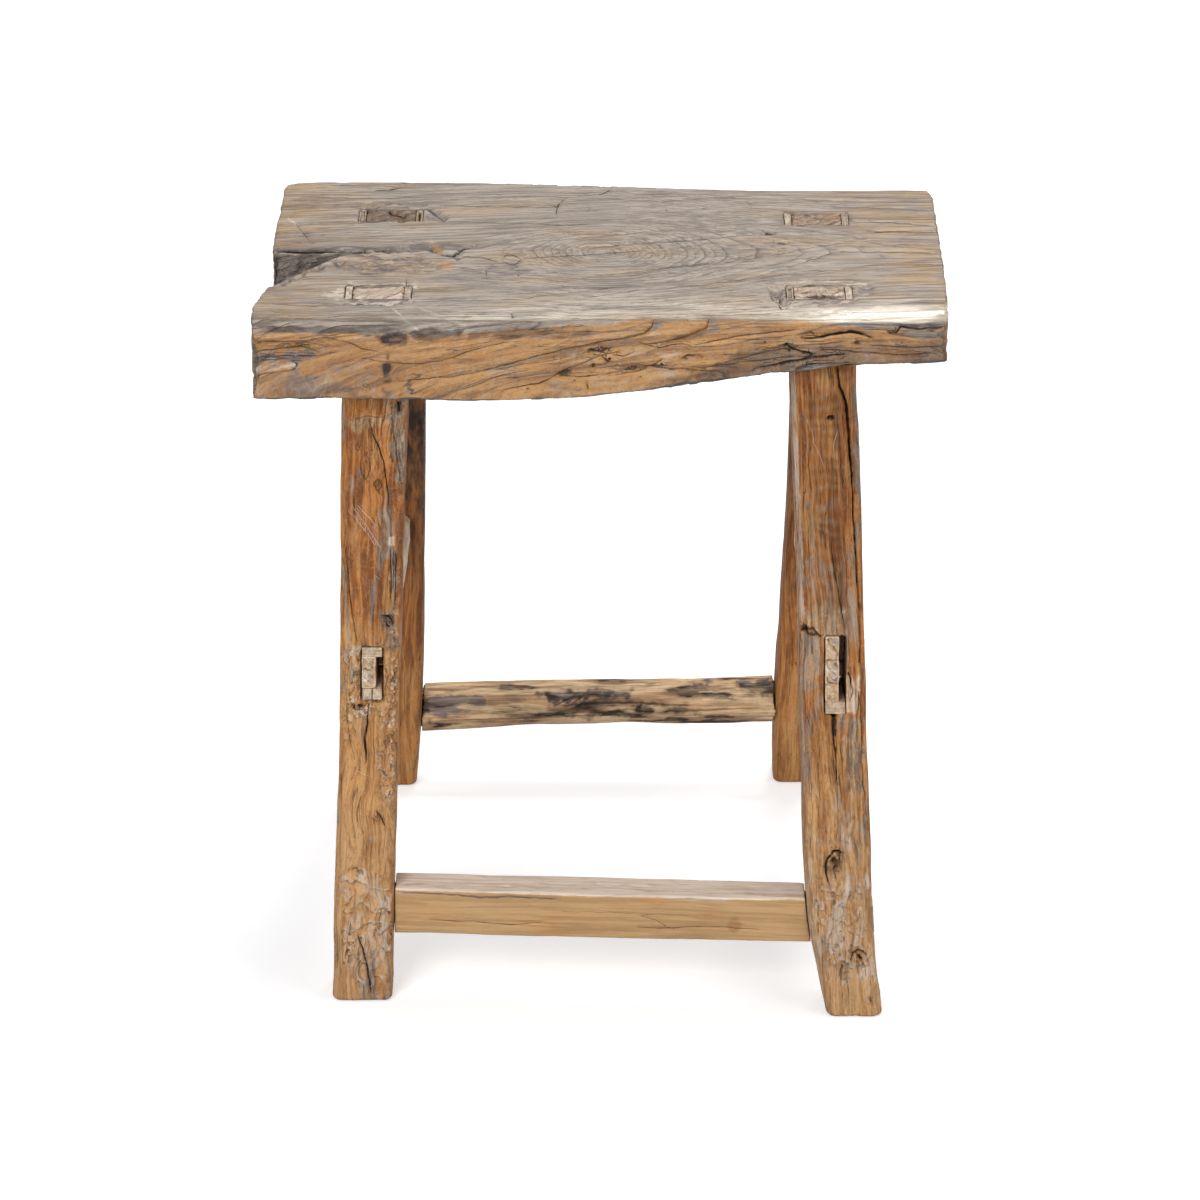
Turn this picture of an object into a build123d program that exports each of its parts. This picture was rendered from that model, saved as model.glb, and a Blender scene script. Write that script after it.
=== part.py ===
"""A rustic four-legged wooden stool.

One thick plank makes the seat. Its underside keeps the shape of the log, so it is thick at the
left and thin at the right, and a rotted hollow opens at its left end. Four squared legs splay
outwards and are tenoned right through the plank, each tenon held by a wedge at either end.
Two low stretchers join the legs along the length, the back one a round branch. Two higher ones
join them across the ends, with tenons that show in the faces of the legs.

The frame: X along the seat to the right, Y from front to back, Z up, and the origin on the floor
under the middle of the stool. All lengths are in millimetres.
"""

import os

from build123d import *

# The whole stool
seat_height = 508.0
overrun = 6.0
joint_gap = 0.3
wedge_gap = 0.1

# The seat plank
seat_length = 482.0
seat_depth = 270.0
seat_thickness = 68.0
seat_corner_radius = 9.0
arris_height = 13.0
arris_width = 10.0
belly_depth = 7.0
back_round_height = 16.0
back_round_depth = 6.0
plan_fillet = 1.8
hollow_depth = 26.0

# How the plank's outline and thickness run from its left end to its right end
plank_station_shares = (
    # along the length, front edge, back edge, thickness at the front, thickness at the back
    (-0.54, -0.540, 0.490, 0.915, 0.89),
    (-0.36, -0.545, 0.511, 0.925, 0.92),
    (-0.18, -0.550, 0.505, 0.935, 0.92),
    (0.00, -0.545, 0.482, 0.890, 0.88),
    (0.18, -0.532, 0.451, 0.735, 0.81),
    (0.36, -0.515, 0.443, 0.620, 0.74),
    (0.54, -0.500, 0.433, 0.540, 0.67),
)
# The plan of the ends, round the plank: share of the length, share of the depth
plan_outline_shares = (
    (-0.500, -0.56),
    (0.499, -0.52),
    (0.504, -0.24),
    (0.504, 0.36),
    (0.500, 0.445),
    (-0.35, 0.53),
    (-0.479, 0.490),
    (-0.484, 0.05),
    (-0.480, -0.27),
    (-0.490, -0.33),
    (-0.500, -0.42),
)
# The hollow's mouth and floor: share of the length, share of the depth
hollow_mouth_shares = (
    (-0.54, -0.015),
    (-0.54, -0.33),
    (-0.475, -0.29),
    (-0.42, -0.16),
    (-0.385, -0.07),
    (-0.355, -0.02),
)
hollow_floor_shares = (
    (-0.54, -0.04),
    (-0.54, -0.25),
    (-0.475, -0.22),
    (-0.44, -0.13),
    (-0.41, -0.07),
    (-0.395, -0.045),
)

# The legs: how far in from the plank's ends and edges their tenons stand, and how far they splay
tenon_from_end = 88.0
tenon_from_edge = 60.0
leg_splay_x = 19.0
leg_splay_y = 109.0
leg_top_span_x = seat_length - 2 * tenon_from_end
leg_top_span_y = seat_depth - 2 * tenon_from_edge
foot_span_x = leg_top_span_x + 2 * leg_splay_x
foot_span_y = leg_top_span_y + 2 * leg_splay_y
leg_width = 44.0
leg_depth = 44.0
leg_corner_radius = 7.0
foot_round = 2.0
leg_tenon_width = 36.0
leg_tenon_depth = 25.0
leg_tenon_recess = 1.0
seat_wedge_thickness = 5.0
seat_wedge_root = 1.2

# Each leg's axis at the seat's top and at the floor, as shares of the spans
axis_top_shares = {
    "front_left": (-0.505, -0.573),
    "front_right": (0.500, -0.573),
    "back_left": (-0.493, 0.440),
    "back_right": (0.510, 0.393),
}
axis_foot_shares = {
    "front_left": (-0.496, -0.448),
    "front_right": (0.502, -0.511),
    "back_left": (-0.468, 0.492),
    "back_right": (0.446, 0.508),
}
# The plank's thickness above each leg's shoulder, as a share of seat_thickness
shoulder_shares = {
    "front_left": 0.895,
    "front_right": 0.630,
    "back_left": 0.890,
    "back_right": 0.700,
}
# Up each leg at even steps from its foot to its shoulder: how far the section stands off the axis
# in X and Y, and its width and depth, all as shares of the leg's width or depth
leg_station_shares = {
    "front_left": (
        (-0.01, -0.02, 0.99, 1.00),
        (-0.01, 0.00, 0.98, 1.02),
        (0.00, 0.00, 0.98, 1.00),
        (-0.01, -0.01, 1.03, 0.99),
        (-0.01, 0.00, 1.08, 0.98),
    ),
    "front_right": (
        (0.21, -0.03, 0.92, 1.00),
        (0.05, 0.00, 1.06, 1.01),
        (0.01, 0.01, 1.11, 1.03),
        (0.01, 0.00, 1.10, 1.02),
        (0.02, 0.00, 1.09, 1.00),
        (0.03, 0.00, 1.08, 1.00),
        (0.03, 0.00, 1.08, 0.99),
        (0.02, 0.00, 1.09, 0.98),
        (0.01, 0.00, 1.10, 0.98),
    ),
    "back_left": (
        (-0.04, 0.02, 0.94, 0.97),
        (0.00, 0.00, 1.08, 1.01),
        (0.01, 0.00, 1.10, 1.01),
        (0.02, 0.00, 1.10, 0.99),
        (0.03, 0.00, 1.08, 0.98),
    ),
    "back_right": (
        (0.01, 0.00, 0.90, 0.97),
        (0.03, 0.01, 0.92, 1.02),
        (0.08, 0.00, 0.87, 1.01),
        (0.10, 0.00, 0.87, 0.99),
        (0.10, 0.00, 0.88, 0.98),
    ),
}

# The two stretchers that join the legs across the ends, and their through tenons
side_stretcher_height = 243.0
side_stretcher_width = 26.0
side_stretcher_depth = 27.0
side_stretcher_round = 5.0
side_tenon_width = 10.0
side_tenon_height = 23.0
tall_tenon_height = 46.0
tall_stretcher_depth = 50.0
side_mortise_slack = 4.5
side_wedge_thickness = 5.5
side_wedge_root = 1.5
side_stretcher_shift = 2.5

# The two stretchers that join the legs along the length, and their tenons
low_stretcher_height = 64.0
front_stretcher_width = 29.0
front_stretcher_depth = 35.0
front_stretcher_round = 3.0
branch_diameter = 37.0
branch_rise = 9.0
front_stretcher_rise = 1.5
low_tenon_width = 18.0
low_tenon_height = 22.0

front_stretcher_shares = (
    # along the stretcher, width, depth
    (0.00, 0.94, 1.06),
    (0.33, 1.02, 1.03),
    (0.67, 1.04, 1.01),
    (1.00, 0.92, 1.01),
)
side_stretcher_shares = (
    (0.00, 0.94, 0.97),
    (0.33, 0.98, 1.00),
    (0.67, 0.96, 1.01),
    (1.00, 0.99, 0.97),
)
branch_shares = (
    # along the branch, drift across, drift up, diameter
    (0.00, 0.00, 0.00, 1.03),
    (0.25, 0.03, 0.02, 1.01),
    (0.50, 0.00, 0.03, 0.97),
    (0.75, -0.03, 0.00, 0.98),
    (1.00, 0.00, 0.00, 1.03),
)

LEGS = ("front_left", "front_right", "back_left", "back_right")


def shoulder_height(leg):
    """The height of the flat shoulder on which the plank rests."""
    return seat_height - seat_thickness * shoulder_shares[leg]


def axis_point(leg, height):
    """Where a leg's axis is at one height."""
    top_x = axis_top_shares[leg][0] * leg_top_span_x
    top_y = axis_top_shares[leg][1] * leg_top_span_y
    foot_x = axis_foot_shares[leg][0] * foot_span_x
    foot_y = axis_foot_shares[leg][1] * foot_span_y
    share = height / seat_height
    return Vector(foot_x + (top_x - foot_x) * share, foot_y + (top_y - foot_y) * share, height)


def between(start, end, share):
    """A value part of the way from one number to another."""
    return start + (end - start) * share


def block(frame, low, low_box, high, high_box):
    """A four-sided block between two levels of a frame. A box is its centre x, y and its size x, y."""
    sections = []
    for level, (x, y, size_x, size_y) in ((low, low_box), (high, high_box)):
        sections.append(frame * Pos(x, y, level) * Rectangle(size_x, size_y))
    return loft(sections)


# Legs

def leg_section(leg, height, shares, inset, grow):
    """One level section of a leg, drawn in by an inset and grown by a clearance."""
    off_x, off_y, width, depth = shares
    axis = axis_point(leg, height)
    place = Pos(axis.X + off_x * leg_width, axis.Y + off_y * leg_depth, height)
    change = 2 * grow - 2 * inset
    size_x, size_y = width * leg_width + change, depth * leg_depth + change
    return place * RectangleRounded(size_x, size_y, leg_corner_radius + grow - inset)


def leg_blank(leg, grow=0):
    """A leg up to its shoulder, before any mortise is cut. It can be grown to cut its own seat."""
    stations = leg_station_shares[leg]
    step = (shoulder_height(leg) - foot_round) / (len(stations) - 1)
    sections = []
    for index, shares in enumerate(stations):
        sections.append(leg_section(leg, foot_round + index * step, shares, 0, grow))
    worn_foot = leg_section(leg, 0, stations[0], foot_round, grow)
    return loft(sections) + loft([worn_foot, sections[0]], ruled=True)


def seat_tenon_block(leg, low, high, extra_width, extra_depth):
    """The block of a leg's seat tenon between two heights, larger by the given extras."""
    boxes = []
    for height in (low, high):
        axis = axis_point(leg, height)
        width = leg_tenon_width + extra_width
        boxes.append((axis.X, axis.Y, width, leg_tenon_depth + extra_depth))
    return block(Plane.XY, low, boxes[0], high, boxes[1])


def seat_wedge(leg, side, slack=0, rise=0):
    """The wedge at one end of a leg's seat tenon: side -1 is the left end and 1 the right end.

    With slack it is the space that the wedge is driven into, which also runs past the top.
    """
    low = shoulder_height(leg)
    high = seat_height - leg_tenon_recess
    growth = (seat_wedge_thickness - seat_wedge_root) / (high - low)
    boxes = []
    heights = (low, high + rise)
    for height in heights:
        thickness = seat_wedge_root + growth * (height - low)
        axis = axis_point(leg, height)
        inner = leg_tenon_width / 2 + wedge_gap - slack
        outer = leg_tenon_width / 2 + wedge_gap + thickness + slack
        middle = axis.X + side * (inner + outer) / 2
        boxes.append((middle, axis.Y, outer - inner, leg_tenon_depth + 2 * slack))
    return block(Plane.XY, heights[0], boxes[0], heights[1], boxes[1])


# Seat plank

def plank_section(station):
    """One section of the plank across its length, with a worn front arris and a rounded belly."""
    along, front, back, front_share, back_share = station
    x = along * seat_length
    front_y = front * seat_depth
    back_y = back * seat_depth
    top = seat_height + overrun
    front_low = seat_height - front_share * seat_thickness
    back_low = seat_height - back_share * seat_thickness
    belly = (seat_height - arris_height + front_low) / 2
    points = {
        "top_front": (x, front_y + arris_width + overrun, top),
        "arris": (x, front_y + belly_depth / 4, seat_height - arris_height),
        "belly": (x, front_y, belly),
        "lip": (x, front_y + belly_depth, front_low + belly_depth / 2),
        "low_front": (x, front_y + 3 * belly_depth, front_low),
        "low_back": (x, back_y - 2 * back_round_depth, back_low),
        "round": (x, back_y, back_low + back_round_height),
        "top_back": (x, back_y - back_round_depth / 2, top),
    }
    edges = [
        Line(points["top_front"], points["arris"]),
        ThreePointArc(points["arris"], points["belly"], points["lip"]),
        Line(points["lip"], points["low_front"]),
        Line(points["low_front"], points["low_back"]),
        Line(points["low_back"], points["round"]),
        Line(points["round"], points["top_back"]),
        Line(points["top_back"], points["top_front"]),
    ]
    return Face(Wire(edges))


def plan_points(shares, height):
    """Points of an outline seen from above, at one height."""
    return [(along * seat_length, across * seat_depth, height) for along, across in shares]


def plan_prism():
    """The plank's plan with its rounded corners, as tall as the plank and level with its top."""
    low = seat_height - 2 * seat_thickness
    outline = make_face(Polyline(*plan_points(plan_outline_shares, low), close=True))
    rounded = fillet(outline.vertices(), plan_fillet)
    return extrude(rounded, seat_height - low, dir=(0, 0, 1))


def hollow():
    """The rotted hollow that opens at the plank's left end."""
    mouth = make_face(Polyline(*plan_points(hollow_mouth_shares, seat_height + overrun), close=True))
    floor = make_face(Polyline(*plan_points(hollow_floor_shares, seat_height - hollow_depth), close=True))
    return loft([floor, mouth], ruled=True)


def corner_rounds():
    """The four worn corners of the plank, as upright blocks with the worn part left standing."""
    cutters = []
    low = seat_height - 2 * seat_thickness
    height = seat_height + overrun - low
    left, right = plan_outline_shares[0][0], plan_outline_shares[1][0]
    rear_right, rear_left = plan_outline_shares[4], plan_outline_shares[6]
    first, last = plank_station_shares[0], plank_station_shares[-1]
    places = (
        (left * seat_length, first[1] * seat_depth, 1, 1),
        (right * seat_length, last[1] * seat_depth, -1, 1),
        (rear_right[0] * seat_length, rear_right[1] * seat_depth, -1, -1),
        (rear_left[0] * seat_length, rear_left[1] * seat_depth, 1, -1),
    )
    radius = seat_corner_radius
    for x, y, inward_x, inward_y in places:
        size = radius + overrun
        middle = Pos(x + inward_x * (radius - size / 2), y + inward_y * (radius - size / 2), low)
        square = extrude(middle * Rectangle(size, size), height)
        post = extrude(Pos(x + inward_x * radius, y + inward_y * radius, low) * Circle(radius), height)
        cutters.append(square - post)
    return cutters


def seat_plank():
    """The plank with its mortises, its wedge spaces, its leg housings and its hollow."""
    plank = loft([plank_section(station) for station in plank_station_shares])
    plank = plank & plan_prism()
    plank = plank - hollow()
    for cutter in corner_rounds():
        plank = plank - cutter
    for leg in LEGS:
        low = shoulder_height(leg)
        slack = 2 * joint_gap
        plank = plank - seat_tenon_block(leg, low - overrun, seat_height + overrun, slack, slack)
        for side in (-1, 1):
            plank = plank - seat_wedge(leg, side, joint_gap, 2 * overrun)
        plank = plank - leg_blank(leg, joint_gap)
    return plank


# Stretchers across the ends and along the length

def frame_along(start, end):
    """A frame whose Z runs from start to end and whose Y points up."""
    along = (end - start).normalized()
    across = Vector(0, 0, 1).cross(along)
    return Plane(origin=start, x_dir=across, z_dir=along)


def side_heights(side):
    """The heights at which a side stretcher meets its front and back legs."""
    tall = side == "right"
    extra = (tall_tenon_height - side_tenon_height) / 3 if tall else 0
    return side_stretcher_height + extra, side_stretcher_height + extra


def side_frame(side):
    """The frame of a side stretcher, and the distance between the two leg axes."""
    front_height, back_height = side_heights(side)
    start = axis_point("front_" + side, front_height)
    end = axis_point("back_" + side, back_height)
    return frame_along(start, end), (end - start).length


def side_sizes(side):
    """A side stretcher's depth and its tenon's height."""
    if side == "right":
        return tall_stretcher_depth, tall_tenon_height
    return side_stretcher_depth, side_tenon_height


def side_tenon(side, extra_width=0, extra_height=0, shift=0):
    """A side stretcher's tenon as one long bar through both legs."""
    frame, length = side_frame(side)
    tenon_height = side_sizes(side)[1] + extra_height
    box = (shift, 0, side_tenon_width + extra_width, tenon_height)
    return block(frame, -leg_depth, box, length + leg_depth, box)


def side_mortise(side):
    """The hole for a side stretcher's tenon, which is slack on its right-hand side."""
    extra = 2 * joint_gap + side_mortise_slack
    return side_tenon(side, extra, 2 * joint_gap, -side_mortise_slack / 2)


def side_stretcher(side, blanks):
    """A side stretcher: a body scribed to both legs, and tenons sawn off flush with them."""
    frame, length = side_frame(side)
    depth, tenon_height = side_sizes(side)
    sections = []
    for share, width_share, depth_share in side_stretcher_shares:
        place = frame * Pos(-side_stretcher_shift, 0, share * length)
        width, high = width_share * side_stretcher_width, depth_share * depth
        sections.append(place * RectangleRounded(width, high, side_stretcher_round))
    body = loft(sections)
    tenon = side_tenon(side)
    ends = []
    for leg in ("front_" + side, "back_" + side):
        body = body - leg_blank(leg, joint_gap)
        ends.append(tenon & blanks[leg])
    box = (0, 0, side_tenon_width, tenon_height)
    middle = block(frame, 0, box, length, box)
    return body + middle + ends[0] + ends[1]


def side_wedge(side, end, upper, across, share, slack=0):
    """A wedge above or below a side stretcher's tenon, driven in from the leg's outer face.

    Its place across the mortise and its share of the mortise's width let two stand side by side.
    """
    frame, length = side_frame(side)
    tenon_height = side_sizes(side)[1]
    full = side_tenon_width + side_mortise_slack
    width = full * share - wedge_gap + 2 * slack
    middle = -side_mortise_slack / 2 + across * full
    direction = 1 if upper else -1
    outer = -leg_depth if end == "front" else length + leg_depth
    root = leg_depth / 3 if end == "front" else length - leg_depth / 3
    boxes = []
    for thickness in (side_wedge_thickness * 2, side_wedge_root):
        near = tenon_height / 2 + wedge_gap - slack
        far = tenon_height / 2 + joint_gap + thickness + slack
        boxes.append((middle, direction * (near + far) / 2, width, far - near))
    if end == "front":
        return block(frame, outer, boxes[0], root, boxes[1])
    return block(frame, root, boxes[1], outer, boxes[0])


# Which wedges each side tenon has: name, upper or not, place across and share of the width
side_wedges = {
    "front_left": (("upper", True, 0, 1), ("lower_outer", False, 0.25, 0.48), ("lower_inner", False, -0.25, 0.48)),
    "front_right": (("lower", False, 0, 1),),
    "back_left": (("lower", False, 0, 1),),
    "back_right": (("lower", False, 0, 1),),
}


def low_frame(end):
    """The frame of the front or back stretcher, and the distance between its leg axes."""
    rise = branch_rise if end == "back" else front_stretcher_rise
    start = axis_point(end + "_left", low_stretcher_height)
    finish = axis_point(end + "_right", low_stretcher_height + rise)
    return frame_along(start, finish), (finish - start).length


def low_tenon(end, extra=0):
    """The tenons of the front or back stretcher as one bar through both legs."""
    frame, length = low_frame(end)
    box = (0, 0, low_tenon_width + extra, low_tenon_height + extra)
    return block(frame, -leg_width, box, length + leg_width, box)


def low_stretcher(end, blanks):
    """The squared front stretcher or the round back branch, scribed to its legs and tenoned."""
    frame, length = low_frame(end)
    sections = []
    if end == "front":
        for share, width_share, depth_share in front_stretcher_shares:
            place = frame * Pos(0, 0, share * length)
            width, depth = width_share * front_stretcher_width, depth_share * front_stretcher_depth
            sections.append(place * RectangleRounded(width, depth, front_stretcher_round))
    else:
        for share, drift_x, drift_y, diameter_share in branch_shares:
            place = frame * Pos(drift_x * branch_diameter, drift_y * branch_diameter, share * length)
            sections.append(place * Circle(diameter_share * branch_diameter / 2))
    body = loft(sections)
    tenon = low_tenon(end)
    ends = []
    for leg in (end + "_left", end + "_right"):
        body = body - leg_blank(leg, joint_gap)
        ends.append(tenon & blanks[leg])
    box = (0, 0, low_tenon_width, low_tenon_height)
    middle = block(frame, 0, box, length, box)
    return body + middle + ends[0] + ends[1]


def finished_leg(leg, blank):
    """A leg with its seat tenon and with the mortises for both stretchers that it carries."""
    end, side = leg.split("_")
    shoulder = shoulder_height(leg)
    timber = blank + seat_tenon_block(leg, shoulder - overrun, seat_height - leg_tenon_recess, 0, 0)
    timber = timber - side_mortise(side)
    timber = timber - low_tenon(end, 2 * joint_gap)
    for _, upper, across, share in side_wedges[leg]:
        timber = timber - side_wedge(side, end, upper, across, share, joint_gap)
    return timber


def main():
    """Builds every piece and writes one file for each."""
    os.makedirs("parts", exist_ok=True)
    blanks = {leg: leg_blank(leg) for leg in LEGS}
    pieces = {"seat_plank": seat_plank()}
    for leg in LEGS:
        end, side = leg.split("_")
        pieces["leg_" + leg] = finished_leg(leg, blanks[leg])
        for place, direction in (("left", -1), ("right", 1)):
            pieces["wedge_seat_" + leg + "_" + place] = seat_wedge(leg, direction)
        for name, upper, across, share in side_wedges[leg]:
            driven = side_wedge(side, end, upper, across, share)
            pieces["wedge_side_" + leg + "_" + name] = driven & blanks[leg]
    for side in ("left", "right"):
        pieces["stretcher_" + side] = side_stretcher(side, blanks)
    for end in ("front", "back"):
        pieces["stretcher_" + end] = low_stretcher(end, blanks)
    for name, piece in pieces.items():
        export_step(piece, "parts/" + name + ".step")
        print(name, round(piece.volume), len(piece.solids()))


main()
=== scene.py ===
# %% [markdown]
# # A rustic plank stool
# The real stool is a thick slab of an old hardwood on four hewn legs. The legs are tenoned through
# the slab, and stretchers join them. Decades of use greyed the top, polished one arris and left
# checks, chips and worm holes all over it.
# The solids that come with it hold every size and joint. This lesson puts the weathered surface on
# them: each big piece is copied from its solid, given a fine skin, carved, and painted with marks
# that its material reads.

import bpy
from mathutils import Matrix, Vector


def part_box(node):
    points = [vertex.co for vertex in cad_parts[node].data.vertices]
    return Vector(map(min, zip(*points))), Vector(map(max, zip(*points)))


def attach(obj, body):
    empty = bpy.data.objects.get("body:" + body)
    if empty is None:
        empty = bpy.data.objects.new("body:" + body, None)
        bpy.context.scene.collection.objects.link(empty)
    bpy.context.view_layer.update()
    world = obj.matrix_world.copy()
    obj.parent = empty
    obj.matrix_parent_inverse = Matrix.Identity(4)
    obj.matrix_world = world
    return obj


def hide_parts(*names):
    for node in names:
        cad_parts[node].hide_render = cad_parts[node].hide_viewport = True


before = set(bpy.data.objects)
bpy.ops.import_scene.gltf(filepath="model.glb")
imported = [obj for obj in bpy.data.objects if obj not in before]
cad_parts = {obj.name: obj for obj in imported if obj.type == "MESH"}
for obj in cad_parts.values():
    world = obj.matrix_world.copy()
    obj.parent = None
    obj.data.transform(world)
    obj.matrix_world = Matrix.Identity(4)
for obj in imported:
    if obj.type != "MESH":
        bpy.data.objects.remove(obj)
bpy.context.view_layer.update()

# %% Modules and units
import itertools
import math

import bpy
import numpy as np
from mathutils import Vector

MM = 0.001
LEGS = ("front_left", "front_right", "back_left", "back_right")

# %% [markdown]
# ## The camera
# The photograph looks down on the stool from far off with a long lens, so its lines hardly run
# together. The camera goes in first, because the marks on the stool are placed by where they lie
# in the photograph's frame of 1200 by 1200 pixels.

# %% Camera
PHOTO_SIZE = 1200
SENSOR_WIDTH = 36.0
lens_length = 167.2
camera_distance = 4.08
camera_pitch = math.radians(24.507)
look_at = Vector((0, 0, 0.232))
camera_forward = Vector((0, math.cos(camera_pitch), -math.sin(camera_pitch)))
camera_up = Vector((0, math.sin(camera_pitch), math.cos(camera_pitch)))
camera_place = look_at - camera_distance * camera_forward
focal_pixels = lens_length / SENSOR_WIDTH * PHOTO_SIZE

camera_data = bpy.data.cameras.new("camera")
camera_data.lens = lens_length
camera_data.sensor_width = SENSOR_WIDTH
camera = bpy.data.objects.new("camera", camera_data)
camera.location = camera_place
camera.rotation_euler = (math.pi / 2 - camera_pitch, 0, 0)
bpy.context.scene.collection.objects.link(camera)
bpy.context.scene.camera = camera
print("camera at", [round(c, 3) for c in camera_place])


def photo_spots(points):
    """The photograph's pixel for each point, given in millimetres."""
    away = points * MM - np.array(camera_place)
    depth = away @ np.array(camera_forward)
    across = PHOTO_SIZE / 2 + focal_pixels * away[:, 0] / depth
    down = PHOTO_SIZE / 2 - focal_pixels * (away @ np.array(camera_up)) / depth
    return np.stack([across, down], axis=1)


# %% [markdown]
# ## Light, floor and background
# A broad soft light overhead, a weaker one in front and an even sky show old wood best: the top is
# bright, the worn arris shines, and no shadow is hard. The floor looks white to the camera, but
# lights the stool as a plain pale floor would, and it keeps the stool's shadow.

# %% Node helper
def node(tree, kind, inputs=(), **settings):
    """Adds a node, sets or links its inputs by name or number, and gives the node back."""
    made = tree.nodes.new(kind)
    for key, value in settings.items():
        setattr(made, key, value)
    for key, value in dict(inputs).items():
        socket = made.inputs[key]
        if isinstance(value, bpy.types.NodeSocket):
            tree.links.new(value, socket)
        else:
            socket.default_value = value
    return made


# %% Lights
def soft_light(name, place, size, power):
    """A square lamp that faces the middle of the stool."""
    lamp = bpy.data.lights.new(name, "AREA")
    lamp.shape = "SQUARE"
    lamp.size = size
    lamp.energy = power
    lamp_object = bpy.data.objects.new(name, lamp)
    lamp_object.location = place
    aim = look_at - Vector(place)
    lamp_object.rotation_euler = aim.to_track_quat("-Z", "Y").to_euler()
    bpy.context.scene.collection.objects.link(lamp_object)


LAMPS = (
    # name, place and size in metres, power in watts
    ("light_above", (0.45, 0.5, 2.6), 0.75, 30),
    ("light_front", (-1.4, -2.7, 2.0), 1.5, 68),
    ("light_right", (2.3, -1.6, 1.2), 1.2, 16),
    ("light_glint", (0.42, 1.7, 2.6), 0.35, 14),
)
for lamp_name, place, size, power in LAMPS:
    soft_light(lamp_name, place, size, power)
print(len(LAMPS), "lamps")

# %% Sky
SKY_COLOUR = (0.94, 0.96, 1.0, 1)
SKY_STRENGTH = 0.42
WHITE = (1, 1, 1, 1)

world = bpy.data.worlds.new("studio")
world.use_nodes = True
bpy.context.scene.world = world
sky = world.node_tree
sky.nodes.clear()
rays = node(sky, "ShaderNodeLightPath")
sky_light = node(sky, "ShaderNodeBackground", {"Color": SKY_COLOUR, "Strength": SKY_STRENGTH})
backdrop = node(sky, "ShaderNodeBackground", {"Color": WHITE, "Strength": 1.0})
seen_or_mirrored = node(
    sky, "ShaderNodeMath", {0: rays.outputs["Is Camera Ray"], 1: rays.outputs["Is Transmission Ray"]},
    operation="MAXIMUM")
sky_mix = node(
    sky, "ShaderNodeMixShader",
    {0: seen_or_mirrored.outputs[0], 1: sky_light.outputs[0], 2: backdrop.outputs[0]})
node(sky, "ShaderNodeOutputWorld", {"Surface": sky_mix.outputs[0]})
bpy.context.scene.view_settings.view_transform = "Standard"

# %% Floor
FLOOR_SIZE = 30
FLOOR_DROP = 0.0003
FLOOR_COLOUR = (0.8, 0.8, 0.8, 1)
FLOOR_LIFT = 0.42
bpy.ops.object.select_all(action="DESELECT")
bpy.ops.mesh.primitive_plane_add(size=FLOOR_SIZE, location=(0, 0, -FLOOR_DROP))
floor = bpy.context.active_object
floor.name = "floor"
floor_finish = bpy.data.materials.new("pale_floor")
floor_finish.use_nodes = True
paper = floor_finish.node_tree
paper.nodes.clear()
floor_rays = node(paper, "ShaderNodeLightPath")
paint = node(paper, "ShaderNodeBsdfDiffuse", {"Color": FLOOR_COLOUR})
lift_by_ray = node(
    paper, "ShaderNodeMath", {0: floor_rays.outputs["Is Camera Ray"], 1: FLOOR_LIFT}, operation="MULTIPLY")
lift = node(paper, "ShaderNodeEmission", {"Color": WHITE, "Strength": lift_by_ray.outputs[0]})
lifted = node(paper, "ShaderNodeAddShader", {0: paint.outputs[0], 1: lift.outputs[0]})
node(paper, "ShaderNodeOutputMaterial", {"Surface": lifted.outputs[0]})
floor.data.materials.append(floor_finish)
print("floor", FLOOR_SIZE, "m wide")

# %% [markdown]
# ## A fine skin
# A solid comes as loose triangles, large and few, which can't hold a check in the wood. So a piece
# starts as a copy of its solid with the triangles merged. The Remesh modifier then covers it with
# small even squares, and a little smoothing takes the sharpness off its edges, as wear does.

# %% Copy and skin
MERGE_DISTANCE = 0.002 * MM


def copy_of(solid, name):
    """A copy of a solid of the frame as a piece of its own, with its loose triangles merged."""
    bpy.ops.object.select_all(action="DESELECT")
    piece = bpy.data.objects.new(name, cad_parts[solid].data.copy())
    bpy.context.scene.collection.objects.link(piece)
    bpy.context.view_layer.objects.active = piece
    piece.select_set(True)
    bpy.ops.object.mode_set(mode="EDIT")
    bpy.ops.mesh.select_all(action="SELECT")
    bpy.ops.mesh.remove_doubles(threshold=MERGE_DISTANCE)
    bpy.ops.object.mode_set(mode="OBJECT")
    piece.data.materials.clear()
    return piece


def apply_modifier(piece, kind, **settings):
    """Adds one modifier to a piece and applies it."""
    bpy.ops.object.select_all(action="DESELECT")
    bpy.context.view_layer.objects.active = piece
    piece.select_set(True)
    modifier = piece.modifiers.new(kind.lower(), kind)
    for key, value in settings.items():
        setattr(modifier, key, value)
    bpy.ops.object.modifier_apply(modifier=modifier.name)


def fine_skin(piece, square, smoothing):
    """Covers a piece with small squares and smooths them a little."""
    apply_modifier(piece, "REMESH", mode="VOXEL", voxel_size=square * MM)
    if smoothing:
        apply_modifier(piece, "SMOOTH", factor=0.5, iterations=smoothing)


# %% [markdown]
# ## Noise for wood
# Wood is uneven in a particular way: everything runs long along the grain and short across it. One
# smooth random field, stretched along the grain, gives lumps, flutes, fibres and checks, depending
# on how far it is stretched. Every field has its own seed, so each run gives the same stool.

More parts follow.
